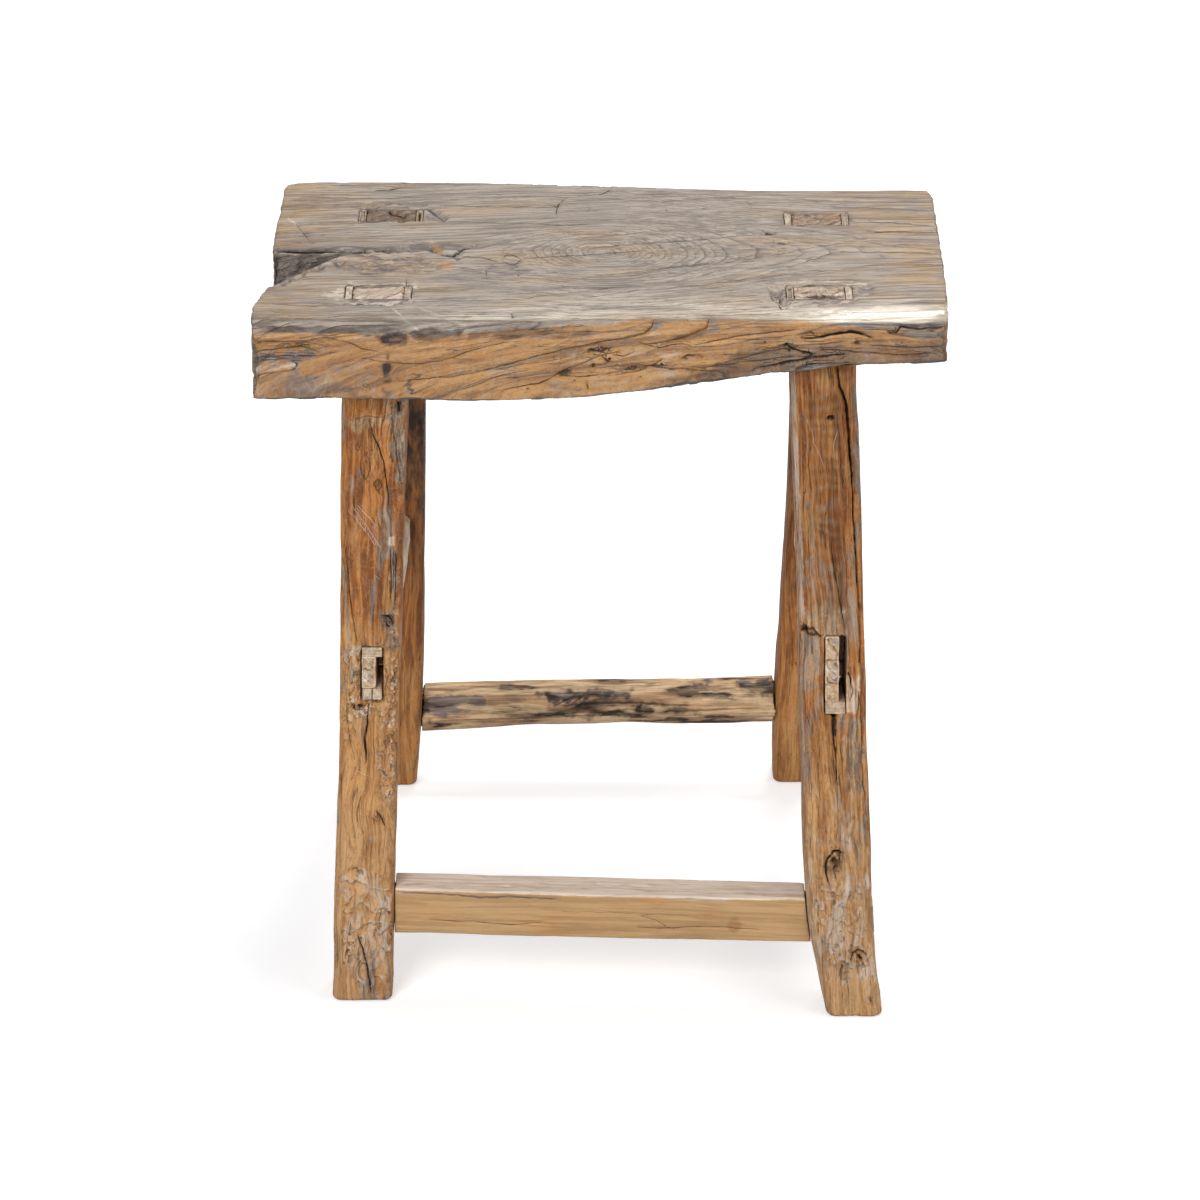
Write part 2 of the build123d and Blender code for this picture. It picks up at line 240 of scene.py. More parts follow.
# %% Noise
def smooth_noise(points, spacing, seed):
    """Smooth random values, about -1 to 1. Spacing is the size of a lump, one number or three."""
    dice = np.random.RandomState(seed)
    table = dice.permutation(256)
    slopes = dice.normal(size=(256, 3))
    slopes /= np.linalg.norm(slopes, axis=1)[:, None]
    place = points / np.asarray(spacing, float) + dice.uniform(0, 50, 3)
    corner = np.floor(place).astype(np.int64)
    inside = place - corner
    fade = inside ** 3 * (inside * (inside * 6 - 15) + 10)
    total = np.zeros(len(points))
    for step in itertools.product((0, 1), repeat=3):
        x, y, z = (corner + step).T
        pick = table[(table[(table[x & 255] + y) & 255] + z) & 255]
        lean = ((inside - step) * slopes[pick]).sum(axis=1)
        share = np.where(step, fade, 1 - fade).prod(axis=1)
        total += share * lean
    return total * 1.7


def layered_noise(points, spacing, seed, layers=3, fall=0.5):
    """Noise with finer and finer layers on it."""
    total, strength = np.zeros(len(points)), 1.0
    for layer in range(layers):
        total += strength * smooth_noise(points, np.asarray(spacing, float) / 2 ** layer, seed + layer)
        strength *= fall
    return total


def creases(points, spacing, seed, sharpness=10):
    """Thin winding lines, 1 on the line and 0 away from it."""
    return np.exp(-(smooth_noise(points, spacing, seed) * sharpness) ** 2)


def ease(values, low, high):
    """0 below low, 1 above high and smooth between."""
    share = np.clip((values - low) / (high - low), 0, 1)
    return share * share * (3 - 2 * share)


# %% [markdown]
# ## Carving and painting
# A carved piece keeps a few things for each point of its skin: how deep it is cut, where it lies in
# the grain, and one value for each paint. Dark is a stain, and also painted shade in the hollows of
# torn wood, under its flakes, on the back legs under the seat and under the branch. Grey is wood
# that the weather bleached, tan and ochre are two golden woods, pale is wood that broke lately and
# also a painted highlight on the polished arris, on crests of torn wood and on the stretchers' tops,
# shine is polish, and torn is wood whose fibres stand up.
# Single marks are a groove along a path, a lip where a flake broke away on one side, with a dark line
# of painted shade along its step, a dish, a hole and a scratch. Torn wood fills a zone: wrinkle makes
# thin crests, and flake makes scales that lie over each other. The material gives torn wood a painted
# highlight on its crests and painted shade between them. Swirl cuts nothing and bends the grain. The
# places of marks and zones are read off the photograph, and act only on the side that it shows. They
# stand in tables, in the order in which they are made.
# A crack is thinner than the squares of the skin, so it isn't painted on the points. They keep how
# far away the crack is and on which side, and the material draws it where that distance is small.

# %% The carver
PAINTS = ("dark", "grey", "tan", "ochre", "pale", "shine", "torn")
NARROWEST_CUT = 1.3
NO_CRACK = 9.0
WANDER = 0.8
WANDER_SPACING = 8


class Carver:
    """The skin of one piece while it is carved. Lengths are in millimetres and places in pixels."""

    def __init__(self, piece, seed):
        mesh = piece.data
        count = len(mesh.vertices)
        self.piece = piece
        self.points = np.empty(count * 3)
        mesh.vertices.foreach_get("co", self.points)
        self.points = self.points.reshape(-1, 3) / MM
        self.normals = np.empty(count * 3, np.float32)
        mesh.vertex_normals.foreach_get("vector", self.normals)
        self.normals = self.normals.reshape(-1, 3).astype(float)
        self.depth = np.zeros(count)
        self.paint = {name: np.zeros(count) for name in PAINTS}
        self.grain = self.points.copy()
        self.crack = np.full(count, NO_CRACK)
        self.ink = np.zeros(count)
        self.spots = photo_spots(self.points)
        # places wander a little, so that no mark is quite straight
        for axis in (0, 1):
            self.spots[:, axis] += WANDER * smooth_noise(self.points, WANDER_SPACING, seed + axis)
        self.uneven = 1 + 0.4 * smooth_noise(self.points, 6, seed + 2)
        self.facing = ease(self.normals @ -np.array(camera_forward), 0.03, 0.25)

    def close_to(self, path, reach):
        """Which points lie near a path, how far off it, how far along it and on which side."""
        path = np.asarray(path, float)
        low, high = path.min(axis=0) - reach, path.max(axis=0) + reach
        near = np.all((self.spots > low) & (self.spots < high), axis=1) & (self.facing > 0)
        near = np.nonzero(near)[0]
        spots = self.spots[near]
        away = np.full(len(near), 1e9)
        along, side = np.zeros(len(near)), np.zeros(len(near))
        runs = np.linalg.norm(np.diff(path, axis=0), axis=1)
        starts = np.concatenate([[0], np.cumsum(runs)])
        for start, end, run, before in zip(path[:-1], path[1:], runs, starts):
            step = end - start
            share = np.clip((spots - start) @ step / run ** 2, 0, 1)
            off = spots - start - share[:, None] * step
            distance = np.hypot(off[:, 0], off[:, 1])
            nearer = distance < away
            away[nearer] = distance[nearer]
            along[nearer] = (before + share * run)[nearer]
            side[nearer] = np.sign(step[0] * off[:, 1] - step[1] * off[:, 0])[nearer]
        return near, away, along / starts[-1], side, starts[-1]

    def cut(self, where, hit, depth, paint):
        """Deepens and paints points by how strongly they are hit."""
        hit = hit * self.facing[where]
        self.depth[where] += depth * hit
        for name, strength in paint.items():
            values = self.paint[name]
            values[where] = np.maximum(values[where], strength * np.clip(hit * 1.25, 0, 1))

    def draw(self, where, distance, strength):
        """Notes a crack's distance, in widths of the crack, where no other crack is nearer."""
        nearer = np.abs(distance) < np.abs(self.crack[where])
        chosen = where[nearer]
        self.crack[chosen] = distance[nearer]
        self.ink[chosen] = (strength * self.facing[where])[nearer]

    def groove(self, path, width, depth, dark=0.0, **paint):
        """A groove that thins out towards both ends, with a dark line at its bottom."""
        where, away, along, side, length = self.close_to(path, 3 * width + 5)
        taper = np.sqrt(np.clip(5 * along * (1 - along), 0.06, 1))
        half = width / 2 * taper * self.uneven[where]
        self.cut(where, np.exp(-(away / np.maximum(half, NARROWEST_CUT)) ** 2), depth, paint)
        if dark:
            near_end = np.minimum(along, 1 - along) * length
            strength = dark * ease(near_end, 0.2, 3) * (1 - ease(away, half + 3, half + 5))
            self.draw(where, side * away / np.maximum(half, 0.3), strength)

    def scratch(self, path, width=0.8, strength=0.7):
        """A thin pale line on the surface. Its ink is below zero, which the material reads as pale."""
        where, away, along, side, length = self.close_to(path, width + 5)
        near_end = np.minimum(along, 1 - along) * length
        strength = strength * ease(near_end, 0, 4) * (1 - ease(away, 2, 3.5))
        distance = side * away / (width / 2 * self.uneven[where])
        nearer = (np.abs(distance) < np.abs(self.crack[where])) & (self.ink[where] <= 0) & (away < 3.5)
        self.crack[where[nearer]] = distance[nearer]
        self.ink[where[nearer]] = -(strength * self.facing[where])[nearer]

    def wrinkle(self, where, depth, spacing, seed, pale=0.5, dark=0.3, ochre=0.8):
        """Torn wood: thin pale crests with sunken wood between them."""
        folds = np.abs(layered_noise(self.points, spacing, seed, 3, 0.5))
        self.depth += depth * where * np.clip(1.8 * folds, 0, 0.9)
        self.blend("torn", 0.5 * where)
        self.blend("ochre", ochre * where)
        # the pale crests are partly the torn wood's own colour and partly painted highlight; the deepest
        # sunken wood is painted dark, as painted shade
        self.blend("pale", pale * where * (1 - ease(folds, 0.04, 0.16)))
        self.blend("dark", dark * where * ease(folds, 0.45, 0.8))

    def flake(self, where, depth, spacing, seed, pale=0.8, ochre=0.8, rise=15):
        """Torn wood: scales that overlap downwards, each with a pale edge and a painted shadow under it."""
        scales = 1.1 * layered_noise(self.points, spacing, seed, 3, 0.5) + self.points[:, 2] / rise
        back = scales % 1.0
        self.depth += depth * where * (back + 0.5 * np.clip(smooth_noise(self.points, 22, seed + 5), 0, 1))
        self.blend("torn", 0.25 * where)
        self.blend("ochre", ochre * where)
        self.blend("pale", pale * where * (1 - ease(back, 0.05, 0.45)))
        # painted shadow just under each scale's edge
        self.blend("dark", 0.4 * where * ease(back, 0.86, 0.97))

    def swirl(self, where, amount, spacing, seed):
        """Bends the grain to and fro, as it runs round knots."""
        self.grain[:, 1] += amount * where * layered_noise(self.points, spacing, seed, 2)
        self.grain[:, 2] += amount * where * layered_noise(self.points, spacing, seed + 7, 2)

    def lip(self, path, fall, depth, dark=0.0):
        """A step down on the right-hand side of a path, as one walks along it in the photograph."""
        where, away, along, side, length = self.close_to(path, 3 * fall)
        taper = np.sqrt(np.clip(5 * along * (1 - along), 0, 1))
        lower = np.where(side > 0, np.exp(-away / fall), np.exp(-away / 1.0)) * taper
        self.cut(where, lower, depth, {})
        # the dark line along the step is painted shade
        near_end = np.minimum(along, 1 - along) * length
        strength = dark * ease(near_end, 0.2, 3) * (1 - ease(away, 4, 6))
        self.draw(where, side * away / (0.75 * taper * self.uneven[where] + 0.2), strength)

    def dish(self, centre, radii, depth, turn=0, edge=0.5, **paint):
        """A shallow oval hollow. Turn is in degrees, and a small edge gives it a steep side."""
        reach = self.oval(centre, radii, turn)
        where = np.nonzero((reach < 1.3) & (self.facing > 0))[0]
        self.cut(where, 1 - ease(reach[where], 1 - edge, 1 + edge * 0.4), depth, paint)

    def hole(self, centre, radii, depth, dark=1.0, turn=0):
        """A hole with a crisp dark inside, such as a worm's."""
        reach = self.oval(centre, radii, turn)
        close = 1 + 4 / min(radii)
        where = np.nonzero((reach < close) & (self.facing > 0))[0]
        wide = np.maximum(1, NARROWEST_CUT / min(radii))
        self.cut(where, np.exp(-(reach[where] / wide) ** 2), depth, {})
        self.draw(where, reach[where], dark * (1 - ease(reach[where], close - 0.6, close)))

    def zone(self, corners, soft=4.0):
        """1 inside a shape in the photograph and 0 outside, with a soft uneven border."""
        corners = np.asarray(corners, float)
        inside = np.zeros(len(self.spots), bool)
        for (x0, y0), (x1, y1) in zip(corners, np.roll(corners, -1, axis=0)):
            crosses = (self.spots[:, 1] > y0) != (self.spots[:, 1] > y1)
            level = (self.spots[:, 1] - y0) / (y1 - y0 if y1 != y0 else 1)
            inside ^= crosses & (self.spots[:, 0] < x0 + level * (x1 - x0))
        where, away, _, _, _ = self.close_to(np.vstack([corners, corners[:1]]), 4 * soft)
        signed = np.where(inside, 4 * soft, -4 * soft)
        signed[where] = np.where(inside[where], away, -away).clip(-4 * soft, 4 * soft)
        ragged = layered_noise(self.points, (9, 9, 14), 99, 3, 0.6)
        return ease(signed + 1.2 * soft * ragged, -soft, soft) * self.facing

    def zones(self, table):
        """Every zone of a table, by name."""
        return {name: self.zone(corners, soft) for name, (soft, corners) in table.items()}

    def patches(self, table):
        """Paints every patch of a table."""
        for paints, soft, *shapes in table:
            for corners in shapes:
                inside = self.zone(corners, soft)
                for name, strength in paints.items():
                    self.blend(name, strength * inside)

    def mark(self, table):
        """Makes every mark of a table, one after the other."""
        kinds = {"groove": self.groove, "scratch": self.scratch, "lip": self.lip, "dish": self.dish,
                 "hole": self.hole}
        for kind, size, depth, options, *places in table:
            for place in places:
                kinds[kind](place, size, depth, **options)

    def oval(self, centre, radii, turn):
        """How far each point is from a centre, in radii of an oval."""
        angle = math.radians(turn)
        off = self.spots - np.asarray(centre, float)
        across = (off[:, 0] * math.cos(angle) + off[:, 1] * math.sin(angle)) / radii[0]
        down = (off[:, 1] * math.cos(angle) - off[:, 0] * math.sin(angle)) / radii[1]
        return np.hypot(across, down) / self.uneven ** 0.5

    def blend(self, name, values):
        """Raises a paint to the given values where they are higher."""
        self.paint[name] = np.maximum(self.paint[name], np.clip(values, 0, 1))

    def finish(self):
        """Moves the skin inwards by its depth and stores what the material needs."""
        self.points -= self.normals * np.maximum(self.depth, 0)[:, None]
        mesh = self.piece.data
        mesh.vertices.foreach_set("co", (self.points * MM).astype(np.float32).ravel())
        for name, values in self.paint.items():
            layer = mesh.attributes.new(name, "FLOAT", "POINT")
            layer.data.foreach_set("value", np.clip(values, 0, 1).astype(np.float32))
        for name, values in (("crack", np.clip(self.crack, -NO_CRACK, NO_CRACK)), ("ink", self.ink)):
            layer = mesh.attributes.new(name, "FLOAT", "POINT")
            layer.data.foreach_set("value", values.astype(np.float32))
        layer = mesh.attributes.new("grain", "FLOAT_VECTOR", "POINT")
        layer.data.foreach_set("vector", (self.grain * MM).astype(np.float32).ravel())
        mesh.shade_smooth()
        mesh.update()
        print(self.piece.name, len(mesh.polygons), "faces, deepest cut", round(self.depth.max(), 1), "mm")


# %% [markdown]
# ## The seat plank
# The plank was sawn from a leaning length of log, so its heart line rises through it from left to
# right and comes out of the top near the middle. That gives the long oval rings on the top, the
# sloping cracks in the front, and the rot at the left end, which follows the heart.
# The front is the outside of the log, with its lobes and worm holes. The top is worn flat, so it
# gets only thin checks.

# %% Skin of the plank
SEAT_TOP = 508.0
FRONT_ARRIS = -126.0
SEAT_SQUARE = 1.4
seat = copy_of("seat_plank", "seat")
fine_skin(seat, SEAT_SQUARE, 1)
print("skin of the plank", len(seat.data.vertices), "points")


def points_of(piece):
    """A piece's points in millimetres."""
    flat = np.empty(len(piece.data.vertices) * 3)
    piece.data.vertices.foreach_get("co", flat)
    return flat.reshape(-1, 3) / MM


def choose(piece, chosen):
    """Gives a piece a vertex group of the chosen points, in place of any other."""
    piece.vertex_groups.clear()
    group = piece.vertex_groups.new(name="chosen")
    group.add([int(i) for i in np.nonzero(chosen)[0]], 1.0, "REPLACE")


def round_over(piece, chosen, rounds):
    """Smooths the chosen points of a piece many times over, which rounds an edge off."""
    choose(piece, chosen)
    apply_modifier(piece, "SMOOTH", factor=0.5, iterations=rounds, vertex_group="chosen")
    piece.vertex_groups.clear()


WORN_ROUNDS = 22
POLISHED_ROUNDS = 40
seat_x, seat_y, seat_z = points_of(seat).T
near_front = (seat_y < FRONT_ARRIS + 14) & (seat_z > SEAT_TOP - 34)
round_over(seat, near_front & (np.abs(seat_x) < 228), WORN_ROUNDS)
polished = near_front & (seat_x > 60) & (seat_x < 234) & (seat_z > SEAT_TOP - 24)
round_over(seat, polished, POLISHED_ROUNDS)

# %% Marks on the plank's top
TOP_CHECKS = (
    # width in pixels, depth in millimetres, path in the photograph
    (3.2, 4.5, ((275, 250), (287, 252), (301, 253), (320, 252), (336, 250), (362, 250), (381, 249),
                (405, 248))),
    (2.4, 3.0, ((409, 250), (426, 248), (442, 253), (452, 254), (464, 248), (475, 245))),
    (1.4, 1.2, ((452, 253), (457, 259), (466, 255), (485, 257), (501, 261))),
    (1.6, 1.6, ((372, 189), (390, 188), (405, 184))),
    (1.0, 0.8, ((442, 204), (490, 206), (537, 206), (560, 205))),
    (1.1, 0.9, ((447, 220), (513, 222), (570, 224), (600, 222))),
    (1.2, 1.0, ((523, 257), (560, 255), (600, 253), (641, 249))),
    (1.0, 0.8, ((275, 303), (315, 305), (348, 304))),
    (1.2, 1.0, ((580, 247), (641, 242), (702, 238), (756, 233))),
    (1.1, 0.9, ((580, 297), (641, 289), (702, 284), (751, 277), (787, 267))),
    (1.2, 1.0, ((787, 267), (812, 258), (836, 251), (873, 251), (934, 252))),
    (1.6, 1.3, ((868, 231), (892, 230), (939, 231))),
    (1.3, 1.1, ((843, 219), (873, 221), (936, 224))),
    (0.9, 0.7, ((790, 275), (824, 270), (860, 267), (897, 267))),
    (0.9, 0.7, ((580, 309), (629, 306), (682, 304))),
    (0.9, 0.7, ((629, 275), (690, 265), (751, 258), (812, 247), (860, 239))),
    (1.0, 0.8, ((580, 277), (641, 270), (702, 262), (775, 251))),
    (1.2, 1.0, ((485, 266), (487, 278))),
    (1.2, 1.0, ((518, 271), (519, 277))),
    (2.0, 1.5, ((511, 311), (513, 318))),
    (3.4, 3.0, ((763, 232), (773, 233))),
    (3.4, 3.0, ((776, 241), (787, 242))),
    (2.2, 2.0, ((664, 208), (669, 209))),
    (1.8, 1.5, ((700, 206), (705, 207))),
    (1.5, 1.2, ((748, 203), (753, 202))),
    (1.2, 1.0, ((295, 222), (306, 235), (313, 243))),
    (1.2, 1.0, ((406, 276), (407, 289))),
    (1.0, 0.7, ((260, 316), (300, 318), (340, 316))),
    (1.0, 0.7, ((884, 244), (915, 244), (938, 245))),
    (0.9, 0.7, ((300, 196), (360, 197), (430, 196))),
    (0.9, 0.7, ((660, 200), (720, 197), (800, 199), (900, 201))),
    (0.9, 0.7, ((830, 206), (880, 207), (930, 210))),
    (0.9, 0.7, ((500, 243), (560, 239), (640, 232), (700, 226))),
    (0.9, 0.7, ((440, 300), (520, 298), (600, 288), (680, 279))),
)
PALE_SCRATCHES = (
    (2.4, 0.4, ((391, 307), (404, 318), (418, 330))),
    (5.0, 0.4, ((421, 308), (443, 317), (466, 325))),
    (1.6, 0.4, ((288, 218), (300, 226))),
)

TOP_MARKS = (
    # kind of mark, size in pixels, depth in millimetres or strength, paints, places in pixels
    # the flake broken off at the back, with painted shade along its step, and the chip beside the back left
    # tenon
    ("lip", 11, 2.2, dict(dark=0.95), ((612, 189), (600, 192), (584, 193), (567, 195), (558, 202),
     (556, 215))),
    ("dish", (13, 6), 2.6, dict(turn=10, grey=1.0), (436, 215)),
    ("groove", 1.4, 1.2, dict(dark=0.8), ((412, 208), (420, 206), (436, 211), (446, 219))),
    # chips round the front right tenon
    ("dish", (12, 7), 5.0, dict(turn=38, edge=0.35, grey=1.0), (779, 294)),
    ("groove", 1.6, 1.2, dict(dark=0.9), ((769, 287), (774, 296), (781, 304), (790, 302))),
    ("groove", 1.2, 1.2, dict(dark=0.7), ((774, 288), (784, 293), (788, 300))),
    ("dish", (9, 6), 2.2, dict(turn=-8, grey=0.8), (867, 290)),
    ("dish", (7, 3), 1.2, dict(grey=0.5), (861, 238)),
    # the knot and the rotted wood that leads to it
    ("groove", 1.2, 0.8, dict(dark=0.75), ((502, 259), (506, 254), (514, 254), (522, 259), (516, 263),
     (508, 263), (502, 259))),
    ("dish", (6, 2.5), 0.6, dict(grey=0.6), (511, 259)),
    ("dish", (8, 5), 1.8, dict(turn=30, tan=0.6), (436, 246)),
    ("groove", 1.8, 1.6, dict(dark=0.9), ((429, 243), (434, 250), (446, 254), (458, 253))),
    ("dish", (14, 4), 2.4, dict(grey=1.0, dark=0.2), (420, 246)),
    ("dish", (24, 3.4), 1.6, dict(grey=0.9, dark=0.15), (392, 249)),
    # the broken lower rim of the hollow
    ("dish", (7, 3.4), 3.4, dict(turn=-25, edge=0.35, grey=1.0, dark=0.12), (285, 281)),
    ("dish", (9, 3.6), 3.4, dict(turn=-22, edge=0.35, grey=1.0, dark=0.12), (299, 274)),
    ("dish", (8, 3.0), 3.4, dict(turn=-12, edge=0.35, grey=1.0, dark=0.12), (318, 268)),
    ("dish", (10, 3.0), 3.4, dict(turn=-10, edge=0.35, grey=1.0, dark=0.12), (336, 263)),
    # worn spots round the middle
    ("dish", (17, 4), 0.8, dict(turn=4, tan=0.5), (440, 266)),
    ("dish", (18, 4), 0.3, dict(turn=-3, grey=0.5), (520, 270)),
    ("dish", (10, 3), 0.3, dict(grey=0.5), (506, 273)),
    ("dish", (24, 4), 0.3, dict(grey=0.5), (495, 265)),
)


def carve_top(plank):
    """The worn top: checks, scratches, the flake at the back and the chips round the tenons."""
    for width, depth, path in TOP_CHECKS:
        plank.groove(path, width, depth, dark=min(1, 0.25 + depth / 3))
    for width, depth, path in PALE_SCRATCHES:
        plank.groove(path, width, depth, pale=0.55)
    plank.mark(TOP_MARKS)


# %% Marks on the plank's front
FRONT_CRACKS = (
    (1.2, 1.4, ((360, 359), (390, 363), (420, 364), (443, 361), (463, 354), (486, 347), (508, 341))),
    (1.3, 1.8, ((396, 384), (447, 378), (481, 372), (510, 365), (542, 355), (564, 350), (600, 344))),
    (1.0, 1.2, ((452, 394), (475, 386), (500, 376), (530, 371))),
    (1.6, 2.0, ((503, 394), (520, 388), (539, 385), (557, 377), (580, 378), (600, 376))),
    (4.0, 4.5, ((556, 377), (564, 375), (573, 374))),
    (1.8, 2.4, ((589, 354), (600, 353), (613, 350))),
    (1.8, 2.0, ((587, 384), (589, 394))),
    (2.0, 2.0, ((600, 377), (629, 370), (647, 368), (668, 370), (702, 373), (717, 375))),
    (3.0, 3.2, ((755, 370), (790, 364), (807, 361), (824, 358), (847, 356))),
    (1.4, 1.6, ((680, 372), (726, 367), (751, 362), (795, 357))),
    (1.2, 1.5, ((717, 366), (739, 360), (763, 353), (800, 348))),
    (1.2, 1.4, ((694, 346), (712, 341), (735, 336), (757, 333), (795, 329))),
    (3.0, 4.5, ((802, 337), (812, 338), (824, 336), (838, 332), (852, 331), (866, 334), (873, 337))),
    (2.4, 2.0, ((803, 333), (810, 331), (816, 334))),
    (5.5, 4.0, ((797, 370), (824, 368), (853, 366))),
    (3.6, 4.0, ((853, 344), (862, 343))),
    (2.8, 3.0, ((787, 345), (793, 350), (807, 354), (815, 357))),
    (1.8, 1.8, ((820, 350), (850, 352), (900, 356), (940, 354))),
    (1.4, 1.5, ((870, 346), (905, 348), (945, 347))),
    (1.5, 2.2, ((602, 358), (607, 363), (612, 364))),
    (1.6, 2.2, ((590, 352), (596, 354), (601, 350), (606, 351))),
    (1.2, 1.5, ((608, 356), (624, 358), (636, 353))),
    (2.2, 2.4, ((680, 362), (688, 357), (699, 356))),
    (1.8, 2.0, ((629, 370), (640, 366), (648, 368))),
    (1.6, 1.6, ((252, 353), (275, 350), (300, 347), (320, 352))),
    (1.6, 1.5, ((253, 359), (280, 357), (316, 356))),
    (1.4, 1.3, ((254, 341), (280, 343), (300, 341), (330, 347))),
    (1.4, 1.2, ((255, 363), (275, 361), (297, 358))),
)
LOBES = (
    # fall-off in pixels, depth in millimetres, path with the broken side on its right
    (11, 5.0, ((560, 352), (584, 347), (607, 341), (627, 336), (645, 332), (652, 325), (654, 317))),
    (11, 5.0, ((645, 347), (664, 343), (680, 337), (693, 332), (707, 327), (708, 321), (710, 316))),
    (8, 5.0, ((637, 343), (647, 348), (659, 352), (671, 348), (682, 346), (693, 347))),
    (7, 2.6, ((254, 377), (275, 374), (290, 372), (297, 368))),
    (6, 2.4, ((560, 372), (580, 366), (600, 358), (622, 352))),
    (7, 3.0, ((615, 376), (640, 372), (656, 366), (664, 360))),
    (6, 2.2, ((760, 350), (790, 346), (816, 345), (850, 341))),
    (6, 2.0, ((253, 345), (272, 341), (296, 343), (312, 347))),
    (6, 2.0, ((320, 336), (345, 341), (362, 349), (380, 352))),
)
WORM_HOLES = (
    # place, radius in pixels
    ((594, 367), 3.4), ((591, 353), 2.6), ((610, 361), 2.2), ((617, 366), 2.0), ((631, 368), 2.2),
    ((662, 366), 1.8), ((687, 361), 2.0), ((765, 343), 2.2), ((786, 345), 4.0), ((857, 343), 2.6),
    ((790, 352), 2.4), ((810, 355), 2.4), ((555, 358), 1.8), ((575, 383), 1.8), ((641, 380), 1.4),
    ((702, 358), 1.6), ((726, 352), 1.4), ((903, 344), 1.6), ((528, 391), 2.0), ((891, 331), 3.4),
)

FRONT_MARKS = (
    # pale wood in the worm channels
    ("groove", 6, 0.8, dict(pale=0.4), ((655, 357), (668, 358), (684, 354))),
    ("groove", 7, -0.1, dict(pale=0.5), ((560, 366), (580, 362), (600, 360))),
    # the broken pocket at the right end
    ("dish", (26, 5), 3.6, dict(turn=2, edge=0.3, grey=0.9, pale=0.35), (923, 334)),
    ("groove", 2.2, 2.5, dict(dark=0.95), ((889, 330), (897, 331), (901, 326), (920, 328), (946, 326))),
    # a small old wound, and the pale chip at the left end
    ("groove", 1.2, 0.8, dict(dark=0.8), ((362, 387), (366, 385), (369, 388), (366, 390), (362, 387))),
    ("groove", 1.6, 1.4, dict(dark=0.85), ((291, 361), (297, 364), (296, 370), (292, 373))),
    ("dish", (30, 5), 1.2, dict(turn=4, tan=1.0), (285, 345)),
)
FRONT_PATCHES = (
    # paints, softness of the border, shapes by their corners in pixels
    # the greyed tips of two lobes
    (dict(grey=0.8), 1.5, ((655, 318), (664, 325), (657, 329), (648, 334), (653, 326))),
    (dict(grey=0.9), 1.5, ((711, 317), (717, 320), (721, 329), (708, 334), (695, 336), (708, 328))),
    # the pale chip at the left end
    (dict(pale=0.55), 1.5, ((253, 367), (290, 361), (296, 364), (296, 369), (275, 373), (253, 376))),
)


def carve_front(plank):
    """The log's outside: cracks along the sloping grain, broken lobes, worm holes and a stain."""
    for width, depth, path in FRONT_CRACKS:
        plank.groove(path, width, depth, dark=min(1, 0.35 + depth / 4.5))
    for fall, depth, path in LOBES:
        # each lip gets a dark line of painted shade along its step
        plank.lip(path, fall, depth, dark=0.65)
    for place, radius in WORM_HOLES:
        plank.hole(place, (radius * 0.8, radius * 0.6), 3.2)
    plank.mark(FRONT_MARKS)
    plank.patches(FRONT_PATCHES)


# %% Growth rings of the plank
HEART_Y = -10.0


def plank_rings(points, normals):
    """How far each point lies from the heart of the log, which is what the ring lines follow.

    The heart comes up to the top near x = 0 and sinks away to both sides, which makes the ovals.
    """
    x, y, z = points.T
    right = 85 * (1 - np.exp(-(np.clip(x, 0, None) / 78) ** 1.2))
    left = 46 * (1 - np.exp(-(np.clip(-x, 0, None) / 38) ** 1.2))
    wobble = 2.6 * smooth_noise(points, (90, 30, 30), 51) + 0.6 * smooth_noise(points, (34, 10, 10), 52)
    on_top = np.hypot(y - HEART_Y, right + left + (SEAT_TOP - z)) + wobble
    # the ring lines swing round the knot
    knot = np.exp(-((x + 66) / 26) ** 2 - ((y + 36) / 16) ** 2)
    on_top += 9 * knot * np.sign(y + 36) * (1 - np.exp(-((y + 36) / 6) ** 2))
    swell = 7 * smooth_noise(points, (90, 90, 34), 53) + 2.6 * smooth_noise(points, (32, 32, 15), 54)
    slope = front_slope(x)
    on_front = 120 + 0.3 * (SEAT_TOP - z + slope) + 0.4 * swell
    front = ease(np.abs(normals[:, 1]), 0.45, 0.75)
    return on_top * (1 - front) + on_front * front


def front_slope(x):
    """How high the grain of the front has risen at x, as the log lay slanting in the plank."""
    return 0.17 * x - 0.0003 * x * x


# %% Mortise edges
def mortise_box(leg_name):
    """The least and most x and y of a leg's tenon with its two wedges, at the top of the seat."""
    left_wedge, right_wedge = (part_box(f"wedge_seat_{leg_name}_{side}") for side in ("left", "right"))
    low_x, high_x = left_wedge[0].x / MM, right_wedge[1].x / MM
    axis_low, axis_high = left_wedge[0].y / MM, left_wedge[1].y / MM
    return low_x, high_x, axis_low, axis_high


def off_the_box(points, box):
    """How far points are from a box's outline, seen from above. Inside it the distance is below 0."""
    low_x, high_x, low_y, high_y = box
    over_x = np.maximum(low_x - points[:, 0], points[:, 0] - high_x)
    over_y = np.maximum(low_y - points[:, 1], points[:, 1] - high_y)
    outside = np.hypot(np.clip(over_x, 0, None), np.clip(over_y, 0, None))
    return np.where(outside > 0, outside, np.maximum(over_x, over_y))


